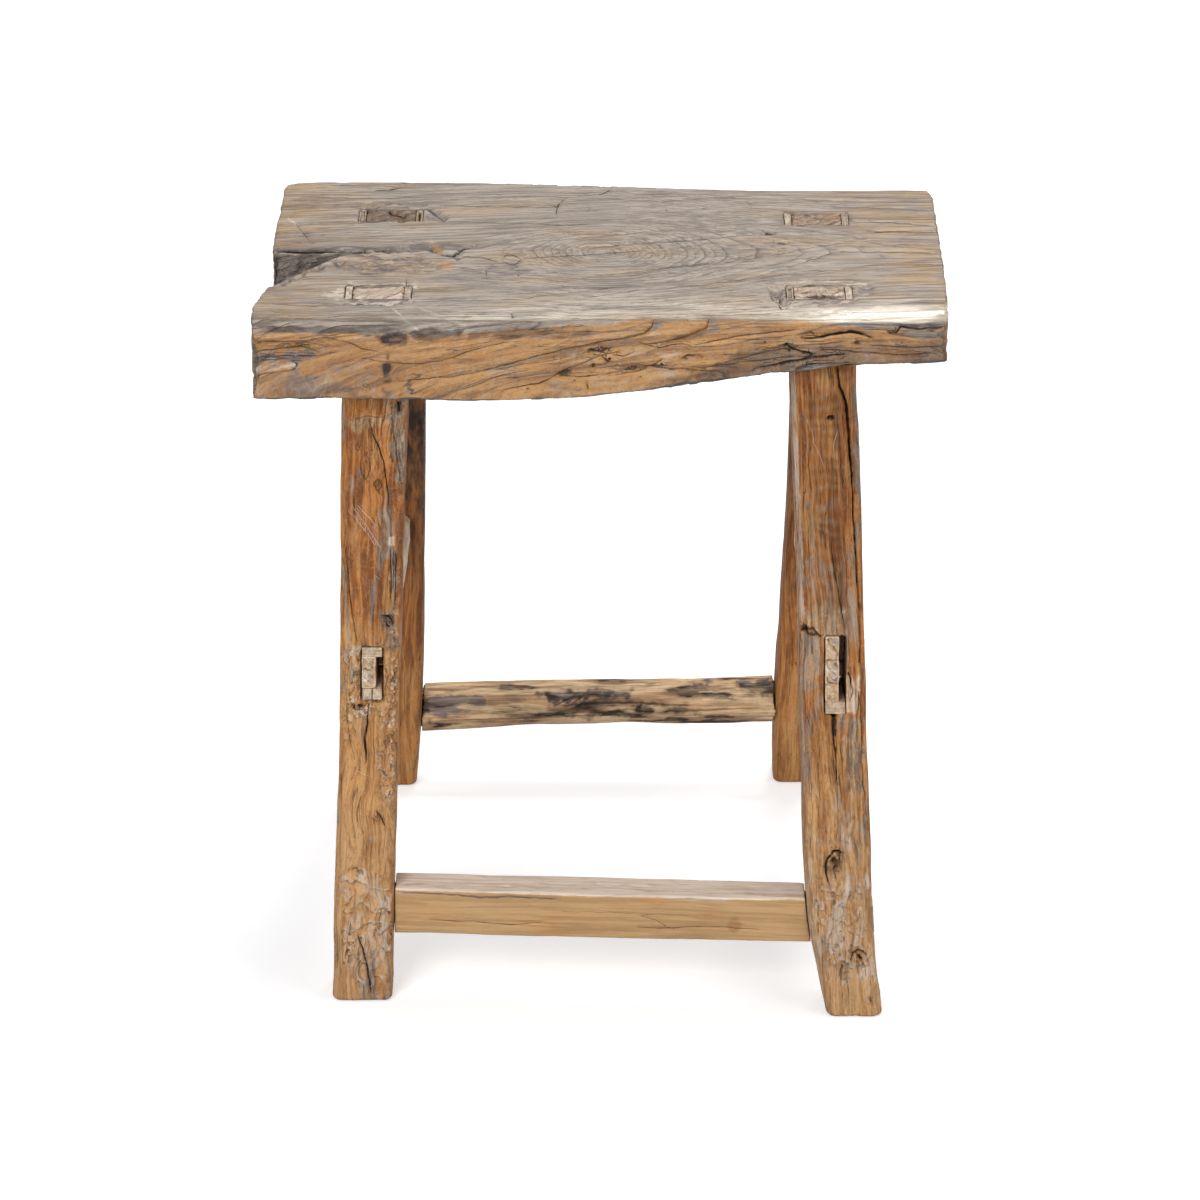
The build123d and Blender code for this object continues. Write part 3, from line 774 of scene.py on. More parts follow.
# %% Zones and patches of the plank
SEAT_ZONES = {
    # softness of the border, and corners in pixels. A softness without a point makes the
    # border step by whole pixels.
    "outer_pit": (2, ((277, 256), (290, 254), (295, 264), (293, 282), (276, 284))),
    "inner_pit": (2, ((298, 256), (318, 256), (326, 262), (312, 272), (299, 278))),
    "scaly": (4.0, ((326, 256), (350, 254), (392, 253), (424, 257), (447, 262), (430, 272), (372, 270),
     (340, 272))),
    "left_chips": (3, ((325, 293), (345, 286), (392, 285), (416, 284), (414, 298), (396, 304),
     (345, 300))),
    "right_chips": (2, ((764, 284), (790, 280), (862, 280), (874, 288), (866, 296), (850, 300),
     (792, 303), (774, 296))),
}
SEAT_PATCHES = (
    # paints, softness of the border, shapes by their corners in pixels
    # flecks of golden wood round the hollow
    (dict(tan=0.38), 1.5, ((362, 261), (372, 261), (373, 268), (364, 267)), ((387, 266), (397, 268),
     (396, 273), (388, 272)), ((430, 240), (436, 243), (446, 251), (438, 252)), ((437, 262), (448, 257),
     (458, 268), (446, 273)), ((282, 252), (303, 253), (296, 262), (290, 258)), ((322, 256), (336, 256),
     (338, 260), (328, 261))),
    # weathered parts of the front
    (dict(grey=0.45, dark=0.15), 4, ((250, 376), (296, 370), (318, 380), (350, 384), (370, 398),
     (250, 402))),
    (dict(grey=0.4, dark=0.36), 5, ((740, 352), (790, 346), (950, 340), (950, 372), (800, 380),
     (640, 396), (690, 376))),
    (dict(grey=0.7), 3, ((250, 353), (280, 352), (330, 347), (318, 356), (296, 362), (250, 364))),
    # the stain under the arris
    (dict(dark=0.95), 2.5, ((374, 334), (410, 334), (406, 343), (384, 344))),
    (dict(dark=0.85), 2.5, ((404, 331), (466, 329), (462, 336), (430, 340), (410, 338))),
    (dict(dark=0.45), 2.5, ((466, 331), (500, 328), (590, 330), (588, 336), (520, 338), (470, 337))),
    # where it ran down the front
    (dict(dark=0.8), 1.5, ((385, 354), (389, 354), (389, 360), (386, 360)), ((382, 364), (390, 364),
     (391, 370), (387, 378), (383, 378)), ((381, 381), (391, 379), (392, 385), (384, 386)), ((382, 389),
     (392, 391), (392, 398), (384, 397))),
)
LEFT_TENON_SPLIT = ((351, 302), (370, 303), (390, 303), (411, 300))
# the height at which the golden outside begins, as pairs of pixels across and down
GOLD_BORDER = ((250, 331), (420, 334), (470, 332), (600, 325), (640, 318), (780, 319), (860, 327),
     (950, 327))
STREAK_TOP = 329
print(len(SEAT_PATCHES), "patches on the plank")


# %% Carve the plank
def carve_seat(piece):
    """Carves and paints the whole plank."""
    plank = Carver(piece, 11)
    points, normals = plank.points, plank.normals
    x, y, z = points.T
    across, down = plank.spots.T
    zones = plank.zones(SEAT_ZONES)
    rings = plank_rings(points, normals)
    around = y + 0.5 * (z - front_slope(x)) + 1.0 * smooth_noise(points, (110, 24, 24), 55)
    plank.grain = np.stack([x, rings, around], axis=1)
    flow = np.stack([x, rings, 0.4 * y + z - front_slope(x)], axis=1)
    top = ease(normals[:, 2], 0.6, 0.9) * ease(z, SEAT_TOP - 14, SEAT_TOP - 4)
    outside = ease(-normals[:, 1], 0.25, 0.7) * ease(-y, 90, 110)
    rear = ease(normals[:, 1], 0.25, 0.7) * ease(y, 95, 105)
    under = ease(-normals[:, 2], 0.3, 0.7)
    ends = ease(np.abs(normals[:, 0]), 0.5, 0.8) * ease(np.abs(x), 222, 232)
    rough = np.clip(0.8 * outside + rear + 0.8 * under + 0.5 * ends, 0, 1)
    # broad wear, only inwards, so that the outline stays
    plank.depth += 0.5 * top * np.clip(smooth_noise(points, (90, 40, 40), 21), 0, 1)
    plank.depth += rough * 2.0 * np.clip(layered_noise(flow, (60, 9, 14), 22, 3), 0, 2)
    plank.depth += rough * 1.1 * np.clip(1 - 3 * np.abs(smooth_noise(flow, (70, 11, 16), 25)), 0, 1)
    # raised and sunken rings of the worn top
    plank.depth += 0.17 * top * (1 + smooth_noise(flow, (90, 2.2, 8), 26))
    fine = creases(flow, (130, 4, 12), 27, 13) * ease(smooth_noise(points, (60, 16, 16), 28), -0.1, 0.35)
    plank.depth += 0.45 * top * fine
    plank.blend("dark", 0.32 * top * fine)
    cracked = creases(flow, (100, 6, 14), 29, 12) * ease(smooth_noise(points, (60, 22, 14), 30), 0.0, 0.4)
    cracked = cracked * (1 - 0.6 * outside)
    plank.depth += 1.2 * rough * cracked
    plank.blend("dark", 0.35 * rough * cracked)
    plank.blend("torn", 0.3 * outside + 0.4 * rear + 0.5 * under + 0.15 * ends)
    # end grain splits
    radial = creases(points, (20, 22, 3.5), 31, 8)
    plank.depth += 0.3 * ends * radial
    plank.blend("dark", 0.6 * ends * radial)
    # chipped mortise edges
    for index, leg_name in enumerate(LEGS):
        box = mortise_box(leg_name)
        off = off_the_box(points, box)
        towards_front = 1.0 if leg_name == "back_left" else ease((box[2] + box[3]) / 2 - y, 2, 8)
        chips = ease(smooth_noise(points, (9, 6, 6), 80 + index) - 0.06 * off, 0.05, 0.35)
        chips = chips * (0.15 + 0.85 * towards_front)
        plank.depth += top * chips * 1.8 * ease(-off, -5.5, -0.3)
        plank.blend(
            "grey", top * 0.5 * ease(-off, -7, -1) * ease(smooth_noise(points, 7, 84 + index), -0.2, 0.4))
    # the hollow and the rotted wood round it
    floor_noise = layered_noise(points, (14, 9, 9), 33, 3)
    in_hollow = ease(-x, 172, 186) * ease(y, -92, -80) * ease(-y, 4, 8) * ease(SEAT_TOP - z, 1.5, 5)
    plank.depth += in_hollow * (1.2 + 1.5 * floor_noise)
    plank.blend("grey", in_hollow)
    plank.blend("torn", in_hollow)
    plank.blend("dark", in_hollow * (0.25 + 0.4 * floor_noise))
    pits = np.maximum(zones["outer_pit"], zones["inner_pit"])
    plank.depth += 3.0 * in_hollow * pits
    carve_top(plank)
    carve_front(plank)
    scaly = ease(1 - np.hypot((x + 150) / 46, (y + 36) / 22), 0, 0.4) * top
    scaly = np.maximum(scaly, zones["scaly"])
    plank.wrinkle(scaly, 2.2, (16, 7, 7), 35, 0.3, 0.5)
    plank.blend("grey", scaly * (0.6 + 0.5 * smooth_noise(points, (10, 5, 5), 34)))
    along_heart = np.exp(-((y - 2 - 0.03 * x) / 5.5) ** 2) * ease(-x, 120, 150) * top
    plank.blend("grey", 0.9 * along_heart * ease(smooth_noise(points, (18, 5, 5), 37), -0.5, 0.1))
    plank.blend("torn", along_heart)
    # pale wood torn up round the front tenons
    chipped, right_chips = zones["left_chips"], zones["right_chips"]
    plank.groove(LEFT_TENON_SPLIT, 1.6, 1.4, dark=0.9)
    plank.wrinkle(0.8 * chipped, 1.6, (10, 6, 6), 36, 0.9, 0.3, 0.3)
    plank.blend("pale", 0.9 * chipped)
    plank.wrinkle(0.6 * right_chips, 1.4, (10, 6, 6), 49, 0.8, 0.3, 0.3)
    plank.blend("pale", 0.6 * right_chips * ease(smooth_noise(points, (12, 6, 6), 50), -0.4, 0.2))
    # colour: golden outside, ochre ends, grey middle
    border = np.interp(across, *zip(*GOLD_BORDER))
    border = border + 2.2 * smooth_noise(points, (22, 9, 9), 43) + 1.0 * smooth_noise(points, (5, 3, 3), 44)
    golden = np.where(plank.facing > 0.3, ease(down, border - 3, border + 3), ease(SEAT_TOP - z, 6, 14))
    golden = golden * ease(-y, 95, 118) * (1 - ease(-normals[:, 2], 0.5, 0.85))
    plank.blend("tan", 0.97 * golden + 0.35 * rear)
    plank.blend("ochre", 0.9 * ends)
    plank.blend("grey", 0.7 * ends * ease(smooth_noise(points, (30, 30, 14), 48), -0.1, 0.4))
    left_end = ease(-x, 150, 236) * top
    right_end = ease(x, 120, 236) * top
    patchy = 0.65 + 1.1 * smooth_noise(points, (34, 12, 12), 38)
    plank.blend("ochre", 1.0 * left_end * patchy + 0.8 * right_end * patchy)
    # cracks in both ends of the top
    plank.depth += 0.5 * left_end * cracked
    plank.blend("dark", 0.4 * np.maximum(left_end, 0.6 * right_end) * cracked)
    # the worn slope that leads to the polished arris
    plank.depth += 4.5 * top * ease(x, 60, 150) * ease(-y, 84, 130) ** 1.5
    rubbed = ease(down, border - 44, border - 10) * top * (0.12 + 0.88 * ease(across, 380, 520))
    plank.blend("pale", 0.95 * rubbed * (0.7 + 0.5 * smooth_noise(points, (50, 12, 12), 39)))
    plank.blend("ochre", 0.5 * top * ease(smooth_noise(points, (70, 20, 20), 45), 0.0, 0.6))
    plank.blend("ochre", 0.6 * ease(down, border - 16, border) * top * ease(across, 440, 520))
    plank.blend("grey", under * 0.5 + 0.25 * rear)
    # patches, stains, and the polish, whose pale is partly a painted highlight
    plank.patches(SEAT_PATCHES)
    band_low = STREAK_TOP + 0.008 * (across - 250) + 1.2 * smooth_noise(points, (10, 4, 4), 47)
    streak = (1 - ease(np.abs(down - band_low), 2.8, 3.8)) * ease(-across, -410, -385) * plank.facing
    streak = streak * (1.0 + 0.15 * smooth_noise(points, (9, 3, 3), 41)) * ease(across, 250, 275)
    plank.blend("dark", 0.66 * streak)
    # the polished band along the front arris: real shine, and on its right part pale paint as a painted
    # highlight
    polish_and_painted_highlight = ease(x, 90, 170) * ease(down, 298, 308) * (1 - ease(down, 319, 326)) * plank.facing
    plank.blend("shine", polish_and_painted_highlight)
    plank.blend("pale", polish_and_painted_highlight * ease(x, 130, 190))
    plank.blend("shine", 0.25 * top)
    plank.finish()
    return top + 0.8 * outside


# %% Thin out the hidden sides
MOST_TRIANGLES = 192000
showing = carve_seat(seat)
triangles = 2 * len(seat.data.polygons)
if triangles > MOST_TRIANGLES:
    choose(seat, showing < 0.5)
    apply_modifier(
        seat, "DECIMATE", ratio=MOST_TRIANGLES / triangles, vertex_group="chosen", vertex_group_factor=6.0)
    seat.vertex_groups.clear()
print("seat", len(seat.data.polygons), "triangles")

# %% [markdown]
# ## The legs
# The legs are split and hewn, not sawn, so no face is quite flat, and their long fibres stand up in
# flutes. Each leg gets flutes along its own axis, found from the spread of its points. The two
# front legs also get the cracks, knots and greyed strips that the photograph shows.

# %% Grain along a piece
def grain_axes(points):
    """The directions of a piece's grain, as rows: along it, and two across it."""
    middle = points.mean(axis=0)
    _, _, rows = np.linalg.svd(points[:: max(1, len(points) // 4000)] - middle, full_matrices=False)
    along = rows[0] * np.sign(rows[0][np.argmax(np.abs(rows[0]))])
    hint = np.array([0, 1.0, 0]) if abs(along[1]) < 0.8 else np.array([0, 0, 1.0])
    across = np.cross(along, hint)
    across /= np.linalg.norm(across)
    return np.array([along, np.cross(across, along), across])


def lay_grain(carver, axes, heart, wobble, seed):
    """Gives a piece its grain: along it, away from the heart of its log, and round the heart."""
    flat = (carver.points - carver.points.mean(axis=0)) @ axes.T
    rings = np.hypot(flat[:, 1] - heart[0], flat[:, 2] - heart[1])
    rings += wobble * smooth_noise(flat, (90, 30, 30), seed)
    rings += 0.4 * wobble * smooth_noise(flat, (26, 11, 11), seed + 1)
    around = flat[:, 1] + flat[:, 2] + wobble * smooth_noise(flat, (60, 20, 20), seed + 2)
    carver.grain = np.stack([flat[:, 0], rings, around], axis=1)
    return flat


def hew(carver, flat, seed, flute=0.6, facet=0.8, crack=1.0):
    """Flutes, shallow facets and short cracks along the grain, all over a piece."""
    rings = carver.grain[:, 1]
    flow = np.stack([flat[:, 0], rings, flat[:, 1] - flat[:, 2]], axis=1)
    carver.depth += facet * np.clip(layered_noise(flat, (55, 20, 20), seed, 2), 0, 2)
    carver.depth += flute * (1 + layered_noise(flow, (90, 3.2, 12), seed + 3, 2)) / 2
    lines = creases(flow, (90, 5, 9), seed + 5, 12)
    lines = lines * ease(smooth_noise(flat, (45, 14, 14), seed + 6), 0.0, 0.4)
    carver.depth += crack * lines
    carver.blend("dark", 0.4 * min(1, crack) * lines)
    carver.blend("torn", 0.25)


# %% Marks on the front left leg
LEFT_LEG_MARKS = (
    # long checks
    ("groove", 1.5, 2.5, dict(dark=0.95), ((369, 419), (373, 436), (379, 448), (383, 462), (386, 478),
     (388, 493), (389, 508))),
    ("groove", 1.4, 2.0, dict(dark=0.9), ((390, 549), (391, 580), (391, 606)), ((397, 552), (398, 580),
     (397, 604))),
    ("groove", 1.2, 1.2, dict(dark=0.7), ((391, 405), (393, 430), (397, 455), (402, 478))),
    ("groove", 1.4, 1.8, dict(dark=0.85), ((343, 547), (348, 579), (352, 612), (357, 644))),
    ("groove", 2.0, 3.5, dict(dark=1), ((369, 701), (367, 724), (365, 741), (366, 764))),
    ("groove", 1.0, 1.2, dict(dark=0.5), ((345, 707), (349, 734), (355, 761))),
    ("groove", 2.0, 3.0, dict(dark=0.85), ((358, 937), (362, 950), (366, 962), (368, 975), (371, 993))),
    ("groove", 1.4, 1.4, dict(dark=0.6), ((352, 872), (357, 868), (360, 877))),
    # scratches across the grain
    ("scratch", 0.7, 0.5, {}, ((351, 505), (366, 526), (383, 550)), ((356, 504), (368, 517),
     (379, 528)), ((347, 509), (361, 526), (376, 546)), ((355, 771), (366, 775), (376, 779)),
     ((386, 480), (393, 481)), ((374, 575), (381, 581))),
    # greyed edges
    ("groove", 5, 0.5, dict(grey=0.7), ((341, 402), (343, 440))),
    ("groove", 5, 0.6, dict(grey=0.6), ((342, 560), (345, 600), (350, 650))),
    ("groove", 5, 0.4, dict(grey=0.6), ((334, 640), (333, 700), (332, 780))),
    # knots and dents
    ("dish", (5, 6), 2.6, dict(dark=0.6, grey=0.6), (401, 407)),
    ("groove", 2.2, 2.4, dict(dark=0.95), ((397, 402), (401, 409), (399, 414))),
    ("groove", 1.6, 1.0, dict(dark=0.6), ((378, 478), (374, 484), (378, 492), (382, 486), (378, 478))),
    ("dish", (3, 5), 1.3, dict(dark=0.5), (378, 485)),
    ("groove", 1.2, 0.8, dict(dark=0.55), ((365, 453), (361, 461), (361, 472), (366, 480), (370, 470),
     (369, 459), (365, 453))),
    ("dish", (2.2, 7), 0.4, dict(dark=0.5), (365, 555)),
    ("dish", (7, 6), 3.0, dict(dark=0.35, grey=0.9), (389, 621)),
    ("groove", 1.6, 2.0, dict(dark=0.95), ((382, 616), (389, 619), (395, 626)), ((385, 625),
     (391, 629)), ((392, 612), (396, 618))),
    ("hole", (3.4, 2.4), 3.0, {}, (360, 708)),
    ("groove", 1.4, 1.6, dict(dark=0.8), ((351, 704), (356, 711), (363, 711), (366, 705))),
    ("groove", 1.2, 0.8, dict(dark=0.5), ((354, 421), (366, 417), (380, 418), (392, 416))),
    ("dish", (5, 6), 1.6, dict(turn=-30, dark=0.25), (380, 820)),
    ("groove", 1.8, 1.8, dict(dark=0.9), ((375, 811), (380, 818), (386, 828))),
    ("groove", 1.4, 1.2, dict(dark=0.8), ((371, 818), (377, 823))),
    ("dish", (3, 6), 0.4, dict(pale=0.6), (386, 856)),
    ("dish", (4, 6), 0.9, dict(grey=0.5, pale=0.4), (371, 840)),
)
LEFT_LEG_ZONES = {
    # softness of the border, and corners in pixels
    "greyed_strip": (4.0, ((391, 400), (406, 400), (407, 480), (402, 488), (394, 460))),
    "bare_streak": (1.5, ((385, 506), (391, 507), (394, 536), (388, 536))),
    "pale_chip": (1.5, ((388, 537), (395, 536), (395, 547), (388, 547))),
    "sunken_split": (1.5, ((391, 548), (398, 549), (399, 600), (396, 615), (391, 612))),
    "below_knot": (4.0, ((380, 612), (396, 610), (402, 640), (398, 652), (384, 650))),
    "torn_top": (2.5, ((348, 424), (360, 416), (392, 414), (392, 424), (372, 428), (358, 436))),
    "collar": (4.0, ((340, 650), (400, 648), (402, 700), (398, 742), (384, 745), (376, 715), (358, 725),
     (341, 745))),
    "above_mortise": (1.5, ((340, 649), (360, 645), (380, 646), (381, 655), (360, 656), (342, 659))),
    "strip": (4.0, ((379, 738), (396, 738), (397, 812), (384, 808), (378, 780))),
    "foot": (4.0, ((338, 878), (356, 866), (376, 872), (395, 892), (394, 930), (392, 965), (378, 996),
     (362, 996), (348, 970), (342, 930))),
}
print(len(LEFT_LEG_MARKS), "marks on the front left leg")


# %% Carve the front left leg's marks
def marks_front_left(leg):
    """Cracks, knots, greyed strips and torn wood on the front left leg."""
    down = leg.spots[:, 1]
    zones = leg.zones(LEFT_LEG_ZONES)
    leg.mark(LEFT_LEG_MARKS)
    leg.wrinkle(leg.facing * zones["greyed_strip"], 1.8, (5, 5, 16), 58, 0.3, 0.5)
    leg.blend("grey", zones["greyed_strip"])
    leg.blend("grey", 0.9 * zones["bare_streak"])
    leg.blend("pale", 0.8 * zones["pale_chip"])
    leg.depth += 1.8 * zones["sunken_split"]
    leg.blend("grey", zones["sunken_split"])
    leg.wrinkle(zones["below_knot"], 2.2, (6, 6, 7), 59, 0.6, 0.5)
    leg.blend("grey", 0.8 * zones["below_knot"])
    leg.wrinkle(zones["torn_top"], 1.6, (7, 7, 6), 57, 0.3, 0.2)
    leg.blend("grey", 0.35 * zones["torn_top"])
    # torn wood round the mortise and down the right side
    leg.flake(zones["collar"], 2.3, (10, 10, 11), 64, 0.7, 0.4, 12)
    leg.swirl(zones["collar"], 4.0, (12, 12, 14), 67)
    above = zones["above_mortise"]
    leg.wrinkle(0.8 * above, 1.4, (6, 6, 5), 55, 0.9, 0.3, 0.3)
    leg.blend("pale", 0.85 * above * ease(smooth_noise(leg.points, (7, 7, 5), 56), -0.5, 0.0))
    leg.flake(zones["strip"], 2.3, (9, 9, 9), 66, 0.7, 0.5, 10)
    leg.swirl(zones["strip"], 4.0, (10, 10, 10), 68)
    leg.blend("grey", 0.25 * zones["strip"])
    # the wrinkled foot, and the golden lower half
    foot = zones["foot"]
    leg.flake(foot, 2.8, (19, 19, 21), 61, 0.75, 0.85, 17)
    leg.swirl(foot, 3.5, (14, 14, 18), 69)
    leg.blend("pale", 0.42 * foot * ease(smooth_noise(leg.points, (16, 16, 22), 70), -0.5, 0.3))
    leg.blend("tan", 0.8 * ease(down, 600, 640))


# %% Marks on the front right leg
RIGHT_LEG_CRACKS = (
    # the two lengths of the long split
    ("groove", 2.8, 7, dict(dark=1), ((837, 368), (840, 387), (846, 402), (848, 421), (850, 443),
     (852, 469), (854, 487), (854, 512))),
    ("groove", 2.4, 6, dict(dark=1), ((854, 508), (856, 538), (858, 560), (859, 582), (861, 604),
     (862, 639), (861, 662))),
    # checks
    ("groove", 1.2, 2.0, dict(dark=0.85), ((831, 540), (833, 560), (838, 590), (845, 630))),
    ("groove", 5.0, 5.0, dict(dark=0.95, grey=0.9), ((834, 698), (834, 715), (834, 739))),
    ("groove", 1.8, 3.0, dict(dark=0.95), ((834, 738), (836, 760), (837, 783))),
    ("groove", 1.0, 1.2, dict(dark=0.6), ((837, 783), (838, 812), (837, 842))),
    ("groove", 1.4, 1.6, dict(dark=0.6), ((862, 700), (864, 760), (870, 830))),
    ("groove", 1.0, 1.0, dict(dark=0.5), ((816, 745), (820, 790), (818, 830))),
    # pits
    ("dish", (4.0, 2.6), 4.0, dict(edge=0.3, dark=1), (830, 419)),
    ("dish", (3, 2), 1.0, dict(grey=0.8), (840, 418)),
    ("dish", (5, 3), 3.2, dict(dark=0.95), (802, 628)),
    ("groove", 2.0, 2.0, dict(dark=0.8), ((802, 628), (808, 634), (818, 636))),
)
KNOTS = (
    # centre and radii in pixels, turn in degrees, seed
    ((835, 864), (10, 15), 20, 90),
    ((860, 959), (10, 8), 0, 91),
    ((871, 1002), (6, 5), 0, 92),
)
RIGHT_LEG_SCARS = (
    # the big knot
    ("dish", (7, 13), 2.6, dict(turn=20, edge=0.4, dark=0.3), (836, 866)),
    ("groove", 2.4, 3.0, dict(dark=0.95), ((829, 886), (826, 874), (827, 862), (834, 852), (844, 856))),
    ("groove", 2.2, 3.0, dict(dark=0.95), ((839, 853), (840, 863), (834, 872), (837, 883))),
    ("groove", 1.6, 2.0, dict(dark=0.8), ((830, 864), (834, 862), (837, 866))),
    # the lower knot
    ("groove", 1.8, 2.2, dict(dark=0.9), ((851, 961), (853, 955), (859, 951), (868, 957))),
    ("groove", 1.2, 1.2, dict(dark=0.7), ((846, 960), (841, 970), (838, 980))),
    # ridges across the grain
    ("groove", 2.4, 1.4, dict(dark=0.25, pale=0.7), ((816, 840), (827, 843), (839, 841), (852, 845)),
     ((823, 964), (845, 966), (869, 968))),
    # grey scuffs
    ("groove", 4, 0.8, dict(grey=0.9), ((799, 571), (806, 564), (813, 556))),
    ("dish", (3.5, 4.5), 1.0, dict(grey=0.9), (807, 506)),
    ("groove", 3, 0.6, dict(grey=0.8), ((812, 518), (813, 545), (818, 556))),
    # scratches
    ("scratch", 0.8, 0.3, {}, ((806, 418), (812, 431), (814, 444), (820, 456), (824, 468)), ((838, 430),
     (834, 446), (835, 462))),
)
RIGHT_LEG_EDGES = (
    # the torn lip beside the mortise
    ("groove", 2.6, 3.0, dict(dark=0.8), ((799, 622), (806, 630), (813, 629), (819, 636), (824, 637))),
    # the greyed arris
    ("groove", 8, 0.3, dict(grey=0.85), ((853, 380), (856, 420), (858, 470), (860, 500))),
    ("groove", 6, 0.6, dict(grey=0.85), ((860, 520), (853, 560), (854, 610), (857, 650))),
    # splits between the splinters
    ("groove", 2.0, 3.0, dict(dark=0.95), ((846, 668), (850, 678), (853, 692), (851, 700))),
    ("groove", 1.4, 2.0, dict(dark=0.8), ((858, 690), (860, 700), (858, 716))),
    ("groove", 1.4, 2.0, dict(dark=0.7), ((840, 694), (843, 702), (842, 712))),
)
RIGHT_LEG_ZONES = {
    # softness of the border, and corners in pixels
    "below_panel": (8, ((806, 560), (846, 556), (850, 600), (846, 640), (820, 636), (806, 600))),
    "beside_mortise": (4, ((798, 632), (820, 640), (820, 690), (800, 700))),
    "above_mortise": (4, ((800, 612), (830, 600), (846, 612), (843, 636), (820, 636), (806, 630))),
    "weathered": (6, ((842, 718), (862, 716), (866, 790), (852, 800), (844, 770))),
    "splinters": (2, ((846, 672), (853, 680), (861, 668), (862, 690), (858, 714), (836, 714),
     (836, 695), (846, 692))),
    "round_knots": (4.0, ((812, 880), (862, 880), (868, 940), (872, 985), (840, 985), (820, 940))),
}
# the scuffed panel's sides, as pairs of pixels down and across, and where its top and bottom fade
PANEL_LEFT = ((375, 799), (485, 811), (521, 816), (592, 815))
PANEL_RIGHT = ((375, 838), (405, 844), (521, 843), (592, 846))
PANEL_TOP = (384, 400)
PANEL_BOTTOM = (596, 636)
print(len(RIGHT_LEG_CRACKS) + len(RIGHT_LEG_SCARS) + len(RIGHT_LEG_EDGES), "marks on the front right leg")


# %% Carve the front right leg's marks
def scuffed_panel(leg):
    """Low uneven ridges across the grain of the upper leg, greyed on top, where it was rubbed."""
    across, down = leg.spots.T
    left = np.interp(down, *zip(*PANEL_LEFT))
    right = np.interp(down, *zip(*PANEL_RIGHT))
    panel = ease(across, left - 2, left + 6) * (1 - ease(across, right - 6, right + 2))
    panel = panel * ease(down, *PANEL_TOP) * (1 - ease(down, *PANEL_BOTTOM)) * leg.facing
    bend = 9.0 * smooth_noise(leg.points, (30, 30, 26), 71) + 2.0 * smooth_noise(leg.points, (9, 9, 9), 72)
    ridges = 0.5 + 0.5 * np.sin((down + bend) * 0.50)
    ridges = ridges * (0.75 + 0.5 * smooth_noise(leg.points, (20, 20, 24), 73))
    leg.depth += panel * (0.2 + 1.0 * (1 - ridges))
    leg.paint["grey"] *= 1 - 0.9 * panel
    leg.paint["tan"] *= 1 - 0.9 * panel
    leg.paint["torn"] *= 1 - panel
    leg.blend("ochre", 0.35 * panel * ridges)
    leg.blend("grey", 0.45 * panel * ridges)
    leg.blend("dark", 0.34 * panel)
    leg.blend("dark", 0.18 * (1 - ease(down, 540, 640)) * leg.facing)


def marks_front_right(leg):
    """The long split, the scuffed panel, the knots and the splintered mortise of the right leg."""
    seen, down = leg.facing, leg.spots[:, 1]
    zones = leg.zones(RIGHT_LEG_ZONES)
    leg.mark(RIGHT_LEG_CRACKS)
    # knots with folded wood round them
    for centre, radii, turn, seed in KNOTS:
        round_it = 1 - ease(leg.oval(centre, radii, turn), 0.5, 1.4)
        leg.wrinkle(round_it * seen, 3.5, (6, 6, 7), seed, 0.5, 0.5)
        leg.hole(centre, (radii[0] * 0.42, radii[1] * 0.20), 4.0, 0.95, turn + 50)
    leg.mark(RIGHT_LEG_SCARS)
    scuffed_panel(leg)
    leg.blend("grey", 0.45 * zones["below_panel"])
    leg.blend("grey", 0.8 * zones["beside_mortise"])
    leg.wrinkle(0.7 * zones["beside_mortise"], 2.5, (8, 8, 18), 94, 0.3, 0.2)
    leg.mark(RIGHT_LEG_EDGES)
    leg.wrinkle(zones["above_mortise"], 2.0, (9, 9, 12), 95, 0.5, 0.1)
    leg.blend("grey", 0.6 * zones["weathered"])
    leg.wrinkle(0.8 * zones["weathered"], 2.5, (7, 7, 20), 93, 0.4, 0.2)
    # bright splinters beside the mortise stand above the skin
    splinters = zones["splinters"]
    for name in ("grey", "dark", "torn"):
        leg.paint[name] *= 1 - splinters
    leg.depth -= 0.8 * splinters
    leg.blend("ochre", splinters)
    leg.blend("pale", 0.72 * splinters)
    # wavy wood in the lower leg, which calms down at the toe
    low = ease(down, 720, 850) * (1 - 0.7 * ease(down, 972, 990)) * seen
    leg.flake(zones["round_knots"], 2.4, (12, 12, 17), 75, 0.8, 0.7, 16)
    leg.swirl(low, 3.6, (20, 20, 60), 76)
    leg.wrinkle(0.6 * low, 2.2, (12, 12, 34), 78, 0.5, 0.0)
    leg.blend("pale", 0.5 * low * ease(smooth_noise(leg.points, (14, 14, 30), 79), -0.3, 0.3))
    leg.blend("tan", 0.8 * ease(down, 690, 760) * seen)
    # the inner face and its worn arris
    inner = ease(-leg.normals[:, 0], 0.35, 0.7)
    leg.blend("grey", 0.35 * inner)
    leg.blend("pale", 0.30 * inner)
    arris = ease(-leg.normals[:, 0], 0.2, 0.45) * ease(-leg.normals[:, 1], 0.3, 0.6) * seen
    leg.blend("pale", 0.6 * arris * (1 - ease(down, 600, 660)))


# %% Measures of the legs
LEG_SQUARE = 1.15
LEG_MARKS = {"front_left": marks_front_left, "front_right": marks_front_right}
# the height of each leg's shoulder, and how far the heart of its log lies off its middle
SHOULDER = {"front_left": 447.1, "front_right": 465.2, "back_left": 447.5, "back_right": 460.4}
HEARTS = {"front_left": (30, 16), "front_right": (-26, 24), "back_left": (26, -20), "back_right": (34, 8)}
# painted shade: how much darker the back legs are painted under the seat, in its shadow
UNDER_SEAT_SHADE = {"back_left": 0.78, "back_right": 0.56}
